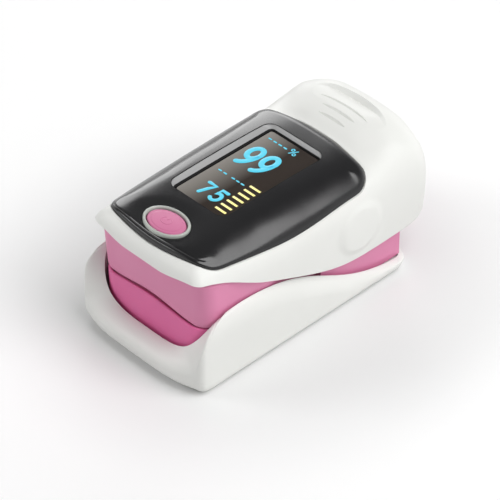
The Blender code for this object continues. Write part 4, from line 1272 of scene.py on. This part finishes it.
def make_world():
    """Studio surround: white to the camera; its light is dim overhead and on the camera's side."""
    world = bpy.data.worlds.new("studio")
    bpy.context.scene.world = world
    world.use_nodes = True
    tree = world.node_tree
    light = tree.nodes["Background"]
    where = node(tree, 'TexCoord')
    apart = node(tree, 'SeparateXYZ')
    fade = node(tree, 'MapRange', From_Min=0.0, From_Max=0.55, To_Min=1.24, To_Max=0.2)
    towards = maths_node(tree, 'VectorMath', 'DOT_PRODUCT')
    towards.inputs[1].default_value = (0.8, -0.6, 0.0)
    dim = node(tree, 'MapRange', From_Min=0.1, From_Max=0.95, To_Min=1.0, To_Max=0.65)
    level = maths_node(tree, 'Math', 'MULTIPLY')
    join(tree, (where, "Generated", apart, "Vector"), (apart, "Z", fade, "Value"),
         (where, "Generated", towards, 0), (towards, "Value", dim, "Value"), (fade, "Result", level, 0),
         (dim, "Result", level, 1), (level, "Value", light, "Strength"))
    fill(light, Color=(1, 1, 1, 1))
    seen = node(tree, 'Background', Color=(1, 1, 1, 1), Strength=1.0)
    path = node(tree, 'LightPath')
    mix = node(tree, 'MixShader')
    join(tree, (path, "Is Camera Ray", mix, "Fac"), (light, "Background", mix, 1),
         (seen, "Background", mix, 2), (mix, "Shader", tree.nodes["World Output"], "Surface"))


def make_lamp(name, direction, distance, width, height, radiance, lights=True, reflects=True):
    """Rectangular soft box that faces the object; it can give light alone or reflections alone."""
    lamp = bpy.data.lights.new(name, 'AREA')
    lamp.shape = 'RECTANGLE'
    lamp.size = width
    lamp.size_y = height
    lamp.energy = radiance * math.pi * width * height
    obj = add_object(name, lamp)
    target = Vector((0, 0, 0.015))
    obj.location = target + Vector(direction).normalized() * distance
    obj.rotation_euler = (target - obj.location).to_track_quat('-Z', 'Y').to_euler()
    obj.visible_diffuse = lights
    obj.visible_glossy = reflects


def make_camera():
    """Camera at the photo's viewing angle."""
    azimuth, elevation = math.radians(CAMERA_AZIMUTH), math.radians(CAMERA_ELEVATION)
    back = Vector((math.sin(azimuth) * math.cos(elevation), -math.cos(azimuth) * math.cos(elevation),
                   math.sin(elevation)))
    data = bpy.data.cameras.new("camera")
    data.sensor_width = SENSOR_WIDTH
    data.lens = SENSOR_WIDTH * FOCAL_PX / PHOTO_WIDTH_PX
    data.clip_start = 0.01
    obj = add_object("camera", data)
    obj.location = (Vector(CAMERA_TARGET) + back * CAMERA_DISTANCE) * MM
    obj.rotation_euler = (-back).to_track_quat('-Z', 'Y').to_euler()
    bpy.context.scene.camera = obj


make_upper_shell()
make_display_plate()
make_recess()
make_button()
make_screen()
make_skirt()
make_chassis_deck()
make_lower_shell()
make_finger_trough()
make_apron()
make_upper_pad()
make_torsion_spring("jaw_coil_left", -1, ["torsion_spring_left"])
make_torsion_spring("jaw_coil_right", 1, ["torsion_spring_right"])
dress_nodes()
make_floor()
make_world()
make_lamp("key_box", (0.56, 0.2, 0.82), 0.8, 0.5, 0.85, 4.2)
make_lamp("edge_box", (-0.78, 0.53, 0.36), 0.7, 0.45, 0.28, 3.8, lights=False)
make_lamp("front_box", (-0.62, -0.58, 0.53), 0.8, 0.32, 0.18, 7.0)
make_lamp("back_fill", (-0.5, 0.8, 0.33), 0.9, 0.8, 0.45, 1.3, reflects=False)
make_camera()
bpy.context.scene.view_settings.view_transform = 'Standard'
